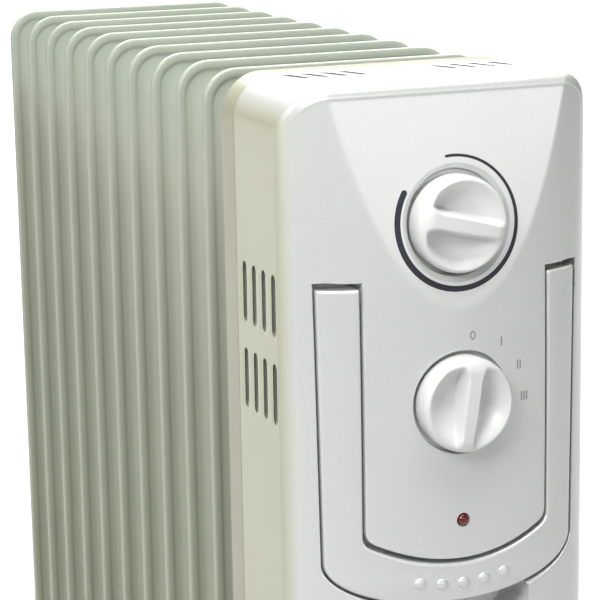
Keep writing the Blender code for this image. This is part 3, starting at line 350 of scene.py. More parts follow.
def half_handle(grow, top_gap, arm_count, bar_count):
    """Inner and outer edges of the handle's right half, from the arm's top to the middle of the bar."""
    top = HANDLE_TOP + top_gap
    slope = (ARM_OUTER_TOP - ARM_OUTER_FOOT) / (HANDLE_TOP - BAR_CORNER)
    outer_x = ARM_OUTER_FOOT + grow
    drop = BAR_CORNER - BAR_OUTER + grow
    share = np.sin(np.linspace(np.pi / 2, 0, 60))
    arc = np.stack([outer_x * share, BAR_CORNER - drop * np.sqrt(1 - share**2.2)], 1)
    outer_start = (outer_x + slope * (ARM_FOOT - BAR_CORNER), ARM_FOOT)
    outer = even(np.concatenate([[outer_start], arc]), bar_count)
    inner_x = ARM_INNER - grow
    floor = BAR_INNER + 1.7 * grow
    bend, sag = 0.0050, 0.0095
    x = np.linspace(0, inner_x - bend, 40)
    flat = np.stack([x, floor + sag * (x / (inner_x - bend)) ** 2], 1)
    start = flat[-1]
    corner = bezier(start, start + (0.0030, 0.0013), (inner_x, floor + 0.0128), (inner_x, floor + 0.0162), 12)
    inner = even(np.concatenate([flat, corner[1:]])[::-1], bar_count)
    t = np.linspace(0, 1, arm_count, endpoint=False)[:, None] ** 1.6
    outer_arm = np.array([ARM_OUTER_TOP + grow, top]) * (1 - t) + outer[0] * t
    inner_arm = np.array([inner_x, top]) * (1 - t) + inner[0] * t
    return np.concatenate([inner_arm, inner]), np.concatenate([outer_arm, outer])


def closing_in(count):
    """Shares from 0 to 1 that lie closer together towards both ends."""
    return (1 - np.cos(np.linspace(0, np.pi, count))) / 2


def handle_sheet(grow, top_gap, arm_count, bar_count, across):
    """A grid (x, z) over the handle's U: rows run along it, columns across it."""
    inner, outer = half_handle(grow, top_gap, arm_count, bar_count)
    mirror = np.array([-1.0, 1.0])
    inner = np.concatenate([inner, (inner * mirror)[-2::-1]])
    outer = np.concatenate([outer, (outer * mirror)[-2::-1]])
    t = closing_in(across)
    return inner[:, None] * (1 - t[None, :, None]) + outer[:, None] * t[None, :, None]


def bar_lean(z):
    """How far the bar's face falls back towards its lower edge."""
    return BAR_LEAN * smooth_step((BAR_CORNER - 0.004 - z) / 0.026)


# ---- housing
def housing_sheet(columns, rows, inset=0.0):
    """A grid over the housing's front outline. Columns run from -1 to 1, rows from 0 to 1."""
    low, high = COVER_BOTTOM + inset, COVER_TOP - inset
    x, z = np.meshgrid(columns * (HALF_WIDTH - inset), low + rows * (high - low))
    return edge_map(x, z, inset)


def bunched(reach, count):
    """Columns from -1 to 1 that lie closer together towards both sides."""
    return np.sin(np.linspace(-reach, reach, count)) / math.sin(reach)


def coarse_housing(name, inset, back):
    """The housing's shape moved in by the inset, without its fine edges."""
    x, z, _, _ = housing_sheet(bunched(1.4, 35), np.linspace(0, 1, 61), inset)
    return slab(name, at_depth(x, z, panel_depth(x, z, inset)), at_depth(x, z, back - PANEL_Y))


def handle_block(grow, top_gap, back):
    """The space of the handle's U, from in front of the panel to a depth."""
    x, z = np.moveaxis(handle_sheet(grow, top_gap, 10, 24, 5), -1, 0)
    return slab("handle_u", at_depth(x, z, -AHEAD), at_depth(x, z, back))


def recess_block(grow):
    """The finger recess behind the bar."""
    across, up = (half + grow for half in RECESS_HALF)
    floor = RECESS_DEPTH + grow
    rings = []
    for scale, depth in ((1.0, -AHEAD), (1.0, 0.0), (1.0, 0.004), (1.0, floor - 0.004), (0.9, floor)):
        oval = circle(1.0, 40) * (across * scale, up * scale) + (0.0, RECESS_Z)
        rings.append(placed(oval, "y", PANEL_Y + depth))
    return solid("recess", rings)


def sweep_block(side):
    """The space that the top of one arm turns in."""
    low, high = ARM_INNER - HANDLE_GAP - 0.0001, ARM_OUTER_TOP + HANDLE_GAP + 0.0001
    ring = circle(0.0080, 28, (PIVOT.y, PIVOT.z), 0.07)
    return prism("sweep", ring, "x", (side * low, side * high))


def well_cutter(z, edges, floor_depth):
    """A round well: edges hold (radius, depth below the panel's surface) down to its floor."""
    rings = [placed(circle(edges[0][0], 96, (0.0, z)), "y", PANEL_Y - 0.02)]
    for radius, depth in edges:
        x, up = circle(radius, 96, (0.0, z)).T
        rings.append(at_depth(x, up, panel_depth(x, up) + depth))
    face = PANEL_Y + panel_depth(0.0, z)
    last, corner, shaft_hole = edges[-1][0], 0.0006, 0.005
    for radius, depth in ((last, floor_depth - corner), (last - corner, floor_depth),
                          (shaft_hole, floor_depth), (shaft_hole, 0.04)):
        rings.append(placed(circle(radius, 96, (0.0, z)), "y", face + depth))
    return solid("well", rings)


def lip(radius, fillet, steps=4):
    """The rounded edge of a hole: (radius, depth) from just above the surface to the straight wall."""
    points = [(radius + fillet * 1.4, -0.12 * fillet)]
    for k in range(1, steps + 1):
        t = math.pi / 2 * k / steps
        points.append((radius + fillet * (1 - math.sin(t)), fillet * (1 - math.cos(t))))
    return points


def stadium(length, width, tail, steps=6):
    """A slot's outline along its first axis. The tail lengthens it at the negative end."""
    points = []
    for side, start, longer in ((1, -90, 0.0), (-1, 90, tail)):
        for k in range(steps + 1):
            t = math.radians(start + 180 * k / steps)
            reach = (length - width) / 2 + longer
            points.append((side * reach + width / 2 * math.cos(t), width / 2 * math.sin(t)))
    return np.array(points)


def vent(axis, middle, turn, size, face, inward, tail):
    """One slot through a wall: a flared mouth with a ramp at one end, a thin lip, then wider inside."""
    length, width = size
    cos, sin = math.cos(math.radians(turn)), math.sin(math.radians(turn))
    flare, inside = 0.0003, 0.0018
    rings = []
    for grow, longer, depth in ((flare, tail, -0.004), (flare, tail, 0.0), (0.0001, 0.6 * tail, 0.00012),
                                (0.0, 0.0, 0.0003), (inside, 0.0, 0.0012), (inside, 0.0, 0.0070)):
        flat = stadium(length + 2 * grow, width + 2 * grow, longer)
        flat = flat @ np.array([[cos, sin], [-sin, cos]]) + middle
        rings.append(placed(flat, axis, face + inward * depth))
    return solid("vent", rings)


def vents():
    cutters = []
    for drop in SIDE_VENT_DROPS:
        for i in range(4):
            middle = (SEAM_Y - SIDE_VENT_START - i * SIDE_VENT_PITCH, FIN_TOP - drop)
            for side in (-1, 1):
                cutters.append(vent("x", middle, 90, SIDE_VENT, side * HALF_WIDTH, -side, 0.0022))
    for group in (-1, 1):
        for i in range(4):
            middle = (group * TOP_VENT_X + (i - 1.5) * TOP_VENT_PITCH, SEAM_Y - TOP_VENT_START)
            cutters.append(vent("z", middle, TOP_VENT_TURN, TOP_VENT, COVER_TOP, -1, 0.0010))
    return cutters


def cover_hollow():
    """The space inside the front cover: walls stay round the handle's pocket, the wells and the posts."""
    hollow = coarse_housing("hollow", WALL, COVER_BACK + 0.02)
    combine(hollow, handle_block(HANDLE_GAP + WALL, HANDLE_TOP_GAP + WALL, 0.034 + HANDLE_GAP + WALL))
    combine(hollow, coarse_housing("deep", HANDLE_THICK + HANDLE_GAP + WALL, COVER_BACK + 0.03), "UNION")
    combine(hollow, recess_block(WALL))
    for z in (THERMOSTAT_Z, POWER_Z):
        ring = circle(DISH_RADIUS + WALL, 40, (0.0, z))
        ends = (PANEL_Y - 0.02, PANEL_Y + panel_depth(0.0, z) + WELL_DEPTH + WALL)
        combine(hollow, prism("well_wall", ring, "y", ends))
    for side in (-1, 1):
        ring = circle(0.0046, 24, (side * POST[0], POST[1]))
        combine(hollow, prism("post", ring, "y", (PANEL_Y + 0.012, COVER_BACK - 0.0015)))
    return hollow


def pocket_cutter():
    """The handle's pocket with rounded edges, its pivot spaces and the finger recess."""
    edge = [(0.0016, -0.0001)] + lip(0.0, 0.0009)[1:]
    layers = []
    for grow, depth in edge[:1] + edge + [(edge[-1][0], HANDLE_THICK + HANDLE_GAP)]:
        x, z = np.moveaxis(handle_sheet(HANDLE_GAP + grow, HANDLE_TOP_GAP + grow, 46, 64, 5), -1, 0)
        layers.append(at_depth(x, z, panel_depth(x, z) + depth))
    layers[0][..., 1] = PANEL_Y - AHEAD
    pocket = slab("pocket", layers[0], layers[-1], layers[1:-1])
    for side in (-1, 1):
        combine(pocket, sweep_block(side), "UNION")
    return combine(pocket, recess_block(0.0), "UNION")


def cover_levels(height):
    """Heights of the cover's rows, close together at its edges and where the handle lies."""
    edge = np.array([0, 0.00003, 0.00013, 0.0003, 0.00055, 0.0009, 0.0013, 0.0018, 0.0024, 0.0030, 0.0034,
                     0.0037, 0.0040, 0.0043, 0.0046, 0.0050, 0.0056, 0.0065, 0.0077])
    plain = [np.linspace(0.009, 0.100, 20), np.linspace(0.1045, 0.290, 36, endpoint=False)]
    fine = np.linspace(0.290, height - 0.009, 208)
    return np.concatenate([edge[::2], *plain, fine, height - edge[::-1]])


def cover_block():
    """The front cover before it is hollowed, with its rounded edge and the faint ridge along it."""
    columns = bunched(math.asin(HALF_WIDTH / NOSE_HALF), 181)
    height = COVER_TOP - COVER_BOTTOM
    rows = cover_levels(height) / height
    x, z, distance, lift = housing_sheet(columns, rows)
    radius = np.where(lift >= 0, 0.0008 + 0.0028 * smooth_step(lift * 1.3), 0.0016)
    ridge = 0.0004 * np.exp(-(((distance - 0.0042) / 0.0006) ** 2)) * smooth_step(lift * 1.2)
    front = at_depth(x, z, panel_depth(x, z) + round_over(distance, radius) - ridge)
    sheets = []
    for inset, ahead in ((0.0, 0.0005), (0.00012, 0.00015), (0.0005, 0.0)):
        x, z, _, _ = housing_sheet(columns, rows, inset)
        sheets.append(at_depth(x, z, COVER_BACK - PANEL_Y - ahead))
    return slab("front_cover_shell", front, sheets[-1], sheets[:-1])


def make_front_cover():
    cover = cover_block()
    combine(cover, cover_hollow())
    edge = lip(INDICATOR_RADIUS, 0.0006)
    rings = []
    for radius, depth in [(edge[0][0], -0.01)] + edge + [(INDICATOR_RADIUS, 0.01)]:
        rings.append(placed(circle(radius, 32, (0.0, INDICATOR_Z)), "y", PANEL_Y + depth))
    combine(cover, solid("lens_hole", rings))
    combine(cover, join(vents()))
    combine(cover, pocket_cutter())
    dish = lip(DISH_RADIUS - 0.0004, 0.0008)[:4]
    dish += [(WELL_RADIUS + 0.0006, 0.0013), (WELL_RADIUS + 0.0002, 0.0016), (WELL_RADIUS, 0.0021)]
    cutters = [well_cutter(THERMOSTAT_Z, dish, WELL_DEPTH + 0.0006),
               well_cutter(POWER_Z, lip(WELL_RADIUS, 0.0006), WELL_DEPTH)]
    ring = circle(0.0072, 32, (GLAND_X, SEAM_Y - GLAND_START))
    cutters.append(prism("gland_hole", ring, "z", (COVER_BOTTOM - 0.01, COVER_BOTTOM + 0.01)))
    for side in (-1, 1):
        cutters.append(pin_way(side * 0.0414, side * 0.0454))
    combine(cover, join(cutters))
    finished(cover, "cover", "heater", "front_cover", angle=40)


def pin_way(*ends):
    return prism("pin_way", circle(PIN_WAY, 20, (PIVOT.y, PIVOT.z)), "x", ends)


def frame_outline(inset, low=None, high=None):
    low = inset if low is None else low
    high = inset if high is None else high
    return rounded_rect(HALF_WIDTH - inset, COVER_BOTTOM + low, COVER_TOP - high, CORNER - inset, 16)


def make_rear_frame():
    """A band between cover and fins, hollow, with a lip at the seam and room for the first fin."""
    back = SEAM_Y + FRAME_LENGTH
    profile = [(0.0006, SEAM_Y), (0.00018, SEAM_Y + 0.00018), (0.0, SEAM_Y + 0.0006), (0.0, back - 0.0008),
               (0.00023, back - 0.00023), (0.0008, back)]
    made = solid("rear_frame_band", [placed(frame_outline(inset), "y", y) for inset, y in profile])
    room = (SEAM_Y + 0.0014, back + 0.01)
    combine(made, prism("inner", frame_outline(0.0014, 0.004, 0.0015), "y", room))
    combine(made, prism("lip", frame_outline(0.006, 0.002, 0.007), "y", (SEAM_Y - 0.01, back)))
    foot = rounded_rect(FIN_HALF + 0.0005, COVER_BOTTOM - 0.01, COVER_BOTTOM + 0.02, 0.0001, 1)
    combine(made, prism("fin_foot", foot, "y", room))
    finished(made, "frame", "heater", "rear_frame")


# ---- printed marks
def paint(x, z):
    """Front and back of paint laid on the panel over a grid."""
    depth = panel_depth(x, z)
    return at_depth(x, z, depth - 0.00005), at_depth(x, z, depth + 0.00015)


def polar(angle, radius, z):
    """A point at an angle clockwise from the top of a knob."""
    t = np.radians(angle)
    return radius * np.sin(t), z + radius * np.cos(t)


def make_scale_arc():
    """A line round the thermostat knob that widens as it goes, with round ends."""
    share = np.linspace(0, 1, 240)
    width = 0.00125 + 0.00165 * smooth_step(share * 1.15)
    middle = ARC_RADIUS - width / 2
    along = np.minimum(share, 1 - share) * np.radians(309) * ARC_RADIUS
    taper = np.sqrt(np.clip(1 - (1 - np.clip(along / (width / 2), 0, 1)) ** 2, 0.02, 1))
    radius = middle[:, None] + (width * taper)[:, None] * np.linspace(-0.5, 0.5, 7)
    angle = (ARC_START + ARC_SPAN * share)[:, None]
    finished(slab("scale_arc", *paint(*polar(angle, radius, THERMOSTAT_Z))), "ink", "heater")


def oval_stroke(outer, inner, centre):
    """A printed 0 between two ovals."""
    rings = np.stack([circle(1.0, 32) * size + centre for size in (inner, outer)], 1)
    front, back = paint(*np.moveaxis(rings, -1, 0))
    return solid("stroke", np.stack([front[:, 0], front[:, 1], back[:, 1], back[:, 0]], 1), closed=True)


def make_switch_marks():
    """0, I, II and III round the power knob."""
    tall, stroke, gap = 0.0042, 0.00072, 0.00145
    for bars, (angle, radius) in enumerate(SWITCH_MARKS):
        x, z = polar(angle, radius, POWER_Z)
        pieces = []
        if not bars:
            pieces.append(oval_stroke((0.00145, tall / 2), (0.00078, tall / 2 - stroke), (x, z)))
        for k in range(bars):
            left = (k - (bars - 1) / 2) * gap
            a, b = np.meshgrid(np.linspace(-stroke / 2, stroke / 2, 3), np.linspace(-tall / 2, tall / 2, 5))
            pieces.append(slab("stroke", *paint(a + left + x, b + z)))
        marked = join(pieces)
        marked.name = f"mark_{bars}"
        finished(marked, "grey_ink", "heater")


# ---- knobs and the handle
def knob_height(u, v):
    """The knob's face over its back: a dome with a scoop on each side of a bar. u runs to the pointer."""
    radius = np.hypot(u, v)
    edge = np.clip((radius - (KNOB_RADIUS - KNOB_EDGE)) / KNOB_EDGE, 0, 1)
    dome = KNOB_HEIGHT - 0.0006 * (radius / KNOB_RADIUS) ** 2 - 0.0055 * (1 - np.sqrt(1 - edge * edge))
    bar = KNOB_BAR + 0.0009 * smooth_step((u - 0.0115) / 0.0060) - 0.0005 * smooth_step(-u / 0.016)
    beside = smooth_step((np.abs(v) - bar) / 0.0028)
    within = np.sin(np.clip((0.0205 - radius) / 0.0105, 0, 1) * np.pi / 2)
    before_end = smooth_step((0.0194 - u - 0.06 * np.abs(v)) / 0.0038)
    depth = SCOOP_DEPTH - 0.0028 * smooth_step((0.002 - u) / 0.020)
    return dome - depth * beside * within * before_end


def make_knob(name, node, body, z, pointer):
    back = PANEL_Y + panel_depth(0.0, z) + WELL_DEPTH - KNOB_LIFT
    turn = math.radians(pointer)
    rounding = KNOB_RADIUS - KNOB_EDGE * (1 - np.sin(np.linspace(0.03, 1, 13) * np.pi / 2))
    t = np.linspace(0, 2 * np.pi, 168, endpoint=False)
    rings = []
    for radius in (0.0004, *np.linspace(0.0011, KNOB_RADIUS - 0.0062, 27), *rounding):
        u, v = radius * np.cos(t), radius * np.sin(t)
        x = u * math.sin(turn) + v * math.cos(turn)
        up = u * math.cos(turn) - v * math.sin(turn)
        rings.append(np.stack([x, back - knob_height(u, v), z + up], -1))
    for radius, height in ((KNOB_RADIUS, 0.0060), (KNOB_RADIUS, 0.0004), (KNOB_RADIUS - 0.0004, 0.0)):
        rim = np.stack([radius * np.sin(turn + t), z + radius * np.cos(turn + t)], -1)
        rings.append(placed(rim, "y", back - height))
    finished(solid(name, rings), "knob", body, node, angle=60)


def bump(x, z):
    """One of the grip's small domes."""
    face = PANEL_Y + panel_depth(x, z) + bar_lean(z) - 0.0001
    rings = []
    for k in range(13):
        angle = math.pi * (0.02 + 0.96 * k / 12)
        ring = circle(math.sin(angle), 32) * (0.0032, 0.0027) + (x, z)
        rings.append(placed(ring, "y", face - BUMP_HEIGHT * math.cos(angle)))
    return solid("bump", rings)


def make_handle():
    across = 25
    grid = handle_sheet(0.0, 0.0, 60, 100, across)
    x, z = np.moveaxis(grid, -1, 0)
    width = np.hypot(*(grid[:, -1] - grid[:, 0]).T)[:, None]
    t = closing_in(across)
    fall = round_over(np.minimum(t, 1 - t)[None, :] * width, HANDLE_EDGE)
    fall = fall + round_over(HANDLE_TOP - z, HANDLE_EDGE)
    base = panel_depth(x, z)
    crown = HANDLE_CROWN * (1 - (2 * t - 1) ** 2)[None, :]
    slope = (PIVOT.z - HANDLE_TOP) / 0.012
    cut = PIVOT.y - PANEL_Y + 0.004 + (z - HANDLE_TOP) / slope
    rear = np.minimum(base + HANDLE_THICK, np.maximum(cut, base + 0.004))
    made = slab("pull_handle_grip", at_depth(x, z, base + fall + bar_lean(z) - crown), at_depth(x, z, rear))
    for i in range(-2, 3):
        combine(made, bump(i * BUMP_PITCH, FIN_TOP - 0.2266 + 0.0020 * (i / 2) ** 2), "UNION")
    for side in (-1, 1):
        combine(made, pin_way(side * 0.0447, side * 0.0546))
    finished(made, "cover", "handle", "pull_handle", angle=40)


# ---- fins
def fin_ring(inset, y):
    """A fin's outline moved in; inside the rim its corners grow rounder, as the oil channel's are."""
    radius = 0.0172 - min(inset, RIM_INSET) + 2.3 * max(inset - RIM_INSET, 0.0)
    return placed(rounded_rect(FIN_HALF - inset, FIN_BOTTOM + inset, FIN_TOP - inset, radius, 14), "y", y)


def fin_profile():
    """(inset, half thickness): the hemmed rim, the thin flange, then the swell of the oil channel."""
    points = [(0.0, 0.0008), (0.00012, 0.0013), (0.0004, 0.0017), (0.0009, 0.0019), (0.0020, 0.00195),
              (0.0032, 0.00185), (0.0041, 0.0016), (0.0048, 0.0012), (0.0054, 0.00095), (0.0062, FLANGE_HALF),
              (0.0070, FLANGE_HALF)]
    for share in np.linspace(0, 1, 13):
        swell = SWELL_HALF * float(smooth_step(share))
        points.append((RIM_INSET + SWELL_WIDTH * share, FLANGE_HALF + swell))
    return points


def web_cutter(side):
    """The long hollow pressed into the middle of a fin's face."""
    half_x, half_z, corner = 0.008, 0.170, 0.0052
    rings = []
    for grow, depth in ((-0.0024, 0.0013), (-0.0012, 0.0015), (0.0004, 0.0028), (0.0022, 0.0052),
                        (0.0036, 0.0062), (0.0056, 0.0067), (0.0060, 0.0090)):
        low, high = FIN_MIDDLE - half_z - grow, FIN_MIDDLE + half_z + grow
        rings.append(placed(rounded_rect(half_x + grow, low, high, corner + grow, 8), "y", side * depth))
    return solid("web", rings)


def hub_boss(side, z, reach):
    """A boss that flares out of the channel and narrows to its neck, or ends in a rounded blind cap."""
    flare = [(0.0245, 0.0058), (0.0234, 0.0066), (0.0222, 0.0071), (0.0212, 0.0080), (0.0204, 0.0094)]
    if reach >= FIN_PITCH / 2 - 0.001:
        body = [(0.0190, 0.0125), (0.0176, 0.0160), (0.0172, 0.0176), (0.0176, 0.0183), (0.0174, reach)]
    else:
        body = [(0.0200, reach - 0.0016), (0.0195, reach - 0.0006), (0.0184, reach)]
    profile = [(r, side * d) for r, d in flare if d < reach - 0.0018] + [(r, side * d) for r, d in body]
    return turned("hub", "y", (0, 0, z), profile, 56)


def make_fin_shape(name, reaches):
    half = fin_profile()
    rings = [fin_ring(inset, -t) for inset, t in half[::-1]] + [fin_ring(inset, t) for inset, t in half]
    fin = solid(name, rings)
    combine(fin, join([web_cutter(side) for side in (-1, 1)]))
    hubs = [hub_boss(side, z, reach) for (side, z), reach in reaches.items()]
    return combine(fin, join(hubs), "UNION")


def make_fins():
    """Eleven fins; the first and the last have capped bosses on their outer side."""
    low, high = FIN_BOTTOM + HUB_INSET, FIN_TOP - HUB_INSET
    joint = FIN_PITCH / 2 - 0.00015
    full = {(side, z): joint for side in (-1, 1) for z in (low, high)}
    first = make_fin_shape("fin_front", {**full, (-1, low): 0.012, (-1, high): 0.008})
    middle = make_fin_shape("fin_middle", full)
    last = make_fin_shape("fin_back", {**full, (1, low): 0.008, (1, high): 0.012})
    for i in range(FIN_COUNT):
        shape = first if i == 0 else last if i == FIN_COUNT - 1 else middle
        fin = copy_to(shape, f"radiator_fin_{i + 1:02d}", (0, FIRST_FIN_Y + i * FIN_PITCH, 0))
        finished(fin, "fin", "heater", f"fin_{i + 1:02d}", angle=38)
    for shape in (first, middle, last):
        remove(shape)


# ---- feet and small parts
def sweep(name, points, radii, segments):
    """A round rod along points in a plane of constant y."""
    rings = []
    points = np.array(points, float)
    t = np.linspace(0, 2 * np.pi, segments, endpoint=False)[:, None]
    for k, point in enumerate(points):
        ahead = points[min(k + 1, len(points) - 1)] - points[max(k - 1, 0)]
        ahead = ahead / np.linalg.norm(ahead)
        side = np.array([-ahead[2], 0.0, ahead[0]])
        rings.append(point + radii[k] * (np.cos(t) * side + np.sin(t) * np.array([0.0, 1.0, 0.0])))
    return solid(name, rings)


def puffed(name, outline, middle):
    """A flat plate across X with softened edges."""
    centre = outline.mean(0)
    rings = []
    for share, scale in ((-1, 0.90), (-0.8, 0.97), (-0.45, 1.0), (0.45, 1.0), (0.8, 0.97), (1, 0.90)):
        rings.append(placed(centre + (outline - centre) * scale, "x", middle + share * PLATE_HALF))
    return solid(name, rings)


def smooth_outline(points, steps=5):
    """A closed outline rounded through its corner points."""
    points = np.array(points, float)
    made = []
    for k in range(len(points)):
        a, b, c = points[k - 1], points[k], points[(k + 1) % len(points)]
        start, end = (a + b) / 2, (b + c) / 2
        for t in np.linspace(0, 1, steps, endpoint=False):
            made.append(start * (1 - t) ** 2 + 2 * b * t * (1 - t) + end * t * t)
    return np.array(made)


def bored(made, axis, centre, radius, segments=24):
    """Cuts a round hole through a piece."""
    return combine(made, turned("bore", axis, centre, [(radius, 0.02), (radius, -0.02)], segments))


def foot_shape():
    """The pressed plate, at y = 0."""
    half_x, half_y, skirt, top = 0.123, 0.023, 0.0440, PLATE_TOP

    def ring(inset, z):
        corner = half_y * 0.8 - inset
        return placed(rounded_rect(half_x - inset, -half_y + inset, half_y - inset, corner, 10), "z", z)

    outer = [(0.0002, skirt), (0.0, skirt + 0.0003), (0.0, top - 0.0030), (0.0004, top - 0.0014),
             (0.0014, top - 0.0004), (0.0030, top), (0.0080, top), (0.0088, top - 0.0005),
             (0.0100, top - 0.0007)]
    inner = [(PLATE_SHEET, skirt - 0.01), (PLATE_SHEET, top - 0.0034), (0.0026, top - 0.0020),
             (0.0100, top - 0.0023)]
    plate = solid("foot", [ring(inset, z) for inset, z in outer])
    combine(plate, solid("tray", [ring(inset, z) for inset, z in inner]))
    holes = []
    for x, radius in ((BOLT_X, 0.0030), (CASTER_X, 0.0041)):
        for side in (-1, 1):
            holes.append(turned("hole", "z", (side * x, 0, top), [(radius, -0.01), (radius, 0.01)], 24))
    return combine(plate, join(holes))


def u_bolt_shape():
    """A rod bent over the lower hub, with threaded ends."""
    hub, foot, thread_top, pitch = FIN_BOTTOM + HUB_INSET, 0.0370, 0.0545, 0.0008
    arc = [(BOLT_X * math.cos(t), 0, hub + BOLT_X * math.sin(t)) for t in np.linspace(0, np.pi, 33)]
    straight = np.linspace(foot, 0.0560, 96)
    thread = 0.00016 * np.cos((straight - foot) * 2 * np.pi / pitch)
    radii = np.where(straight < thread_top, BOLT_ROD - 0.00018 + thread, BOLT_ROD)
    radii[:3] = (BOLT_ROD * 0.72, BOLT_ROD * 0.86, BOLT_ROD * 0.94)
    first = [(BOLT_X, 0, z) for z in straight]
    last = [(-BOLT_X, 0, z) for z in straight[::-1]]
    return sweep("u_bolt", first + arc + last, [*radii, *[BOLT_ROD] * len(arc), *radii[::-1]], 20)


def wing_nut_shape():
    centre = (0, 0, UNDER_PLATE)
    profile = [(0.0056, 0.0), (0.0062, -0.0004), (0.0062, -0.0010), (0.0056, -0.0060), (0.0053, -0.0067),
               (0.0046, -0.0070)]
    nut = turned("nut", "z", centre, profile, 40)
    for side in (-1, 1):
        corners = ((0.0030, -0.0002), (0.0092, -0.0014), (0.0136, -0.0068), (0.0124, -0.0116),
                   (0.0086, -0.0104), (0.0030, -0.0066))
        outline = smooth_outline([(side * a, UNDER_PLATE + b) for a, b in corners])
        combine(nut, puffed("wing", outline, 0.0), "UNION")
    return bored(nut, "z", centre, 0.0028)


def fork_shape():
    """The caster's bent fork with its stem, for a caster at the origin."""
    low, high, top, under = 0.0385, 0.0440, PLATE_TOP, UNDER_PLATE
    profile = [(0.0093, low), (0.0102, low + 0.0005), (0.0105, low + 0.0014), (0.0105, high - 0.0016),
               (0.0099, high - 0.0005), (0.0086, high), (0.0070, high), (0.0070, under - 0.0003),
               (0.0066, under), (0.0036, under), (0.0036, top + 0.0005), (0.0056, top + 0.0005),
               (0.0060, top + 0.0010), (0.0056, top + 0.0018), (0.0042, top + 0.0025), (0.0020, top + 0.0028)]
    fork = turned("fork", "z", (0, 0, 0), profile, 48)
    tip_radius = 0.0062
    outline = [(-0.0080, low + 0.0022)]
    for t in np.linspace(-np.pi / 2, np.pi / 2, 15):
        outline.append((TRAIL + tip_radius * math.sin(t), WHEEL_RADIUS - tip_radius * math.cos(t)))
    outline = np.array(outline + [(0.0100, low + 0.0022)])
    for side in (-1, 1):
        combine(fork, puffed("cheek", outline, side * (0.0068 + PLATE_HALF)), "UNION")
    return bored(fork, "x", (0, TRAIL, WHEEL_RADIUS), AXLE_BORE)


def wheel_shape():
    """A tyre with a groove on each face and a hub, about x = 0 at the axle."""
    side = [(0.0030, 0.0060), (0.0050, 0.0060), (0.0058, 0.0057), (0.0060, 0.0052), (0.0066, 0.0050),
            (0.0072, 0.0040), (0.0108, 0.0040), (0.0116, 0.0050), (0.0122, 0.0057), (0.0136, 0.0060),
            (0.0152, 0.0058), (0.0164, 0.0050), (0.0171, 0.0038), (0.01745, 0.0022), (WHEEL_RADIUS, 0.0008)]
    profile = [(r, -a) for r, a in side] + [(r, a) for r, a in side[::-1]]
    centre = (0, 0, WHEEL_RADIUS)
    return bored(turned("wheel", "x", centre, profile, 72, -math.pi / 2), "x", centre, AXLE_BORE)


def axle_shape():
    half = [(0.0020, 0.0092), (0.0028, 0.0093), (0.0029, 0.0097), (0.0022, 0.0101), (0.0010, 0.0103)]
    profile = [(r, -a) for r, a in half[::-1]] + half
    return turned("axle", "x", (0, 0, WHEEL_RADIUS), profile, 28)


def make_feet():
    """Two feet, each with its U-bolt, two wing nuts and two casters."""
    shapes = {"foot": foot_shape(), "bolt": u_bolt_shape(), "nut": wing_nut_shape(),
              "fork": fork_shape(), "wheel_tyre": wheel_shape(), "axle": axle_shape()}

    def put(kind, place, offset, look, body, node, angle=32.0):
        made = copy_to(shapes[kind], f"{kind}_{place}", offset)
        finished(made, look, body, f"{node}_{place}", angle=angle)

    for end, gap_index in (("front", 0.5), ("rear", FIN_COUNT - 1.5)):
        y = FIRST_FIN_Y + gap_index * FIN_PITCH
        put("foot", end, (0, y, 0), "foot", "heater", "foot_plate")
        put("bolt", end, (0, y, 0), "steel", "heater", "u_bolt", 50)
        for side, sign in (("left", -1), ("right", 1)):
            place, x = f"{end}_{side}", sign * CASTER_X
            put("nut", place, (sign * BOLT_X, y, 0), "steel", "heater", "wing_nut", 45)
            put("fork", place, (x, y, 0), "caster", f"caster_{place}", "caster_fork", 40)
            put("axle", place, (x, y + TRAIL, 0), "steel", f"caster_{place}", "caster_axle", 50)
            put("wheel_tyre", place, (x, y + TRAIL, 0), "rubber", f"wheel_{place}", "caster_wheel", 45)
    for shape in shapes.values():
        remove(shape)


def make_oil_plug():
    """The filler plug in the last fin's upper boss: a flanged disc with a hexagon head."""
    centre = (0, FIRST_FIN_Y + (FIN_COUNT - 1) * FIN_PITCH + 0.012, FIN_TOP - HUB_INSET)
    profile = [(0.0118, -0.0050), (0.0118, 0.0003), (0.0158, 0.0003), (0.0165, 0.0007), (0.0165, 0.0012),
               (0.0158, 0.0016)]
    head = [(0.0090, 0.0010), (0.0095, 0.0014), (0.0095, 0.0040), (0.0088, 0.0045)]
    plug = turned("plug", "y", centre, profile, 56)
    combine(plug, turned("head", "y", centre, head, 6), "UNION")
    finished(plug, "steel", "heater", "oil_filler_plug", angle=30)


def make_lens():
    profile = [(0.0003, -0.00125), (0.0009, -0.0012), (0.0016, -0.00095), (0.0022, -0.0005), (0.00255, 0.0),
               (0.0027, 0.0005), (0.0027, 0.0034), (0.0040, 0.0034), (0.0040, 0.0046)]
    finished(turned("lens", "y", (0, PANEL_Y, INDICATOR_Z), profile, 40), "lens", "heater", "indicator_lens",
             angle=40)


def make_gland():
    centre = (GLAND_X, SEAM_Y - GLAND_START, COVER_BOTTOM)
    profile = [(0.0090, 0.0060), (0.0090, 0.0028), (0.0068, 0.0028), (0.0068, -0.0003), (0.0093, -0.0003),
               (0.0095, -0.0008), (0.0093, -0.0020), (0.0080, -0.0046), (0.0072, -0.0055), (0.0060, -0.0060)]
    gland = bored(turned("gland", "z", centre, profile, 48), "z", centre, 0.0038, 32)
    finished(gland, "black", "heater", "cord_gland", angle=35)


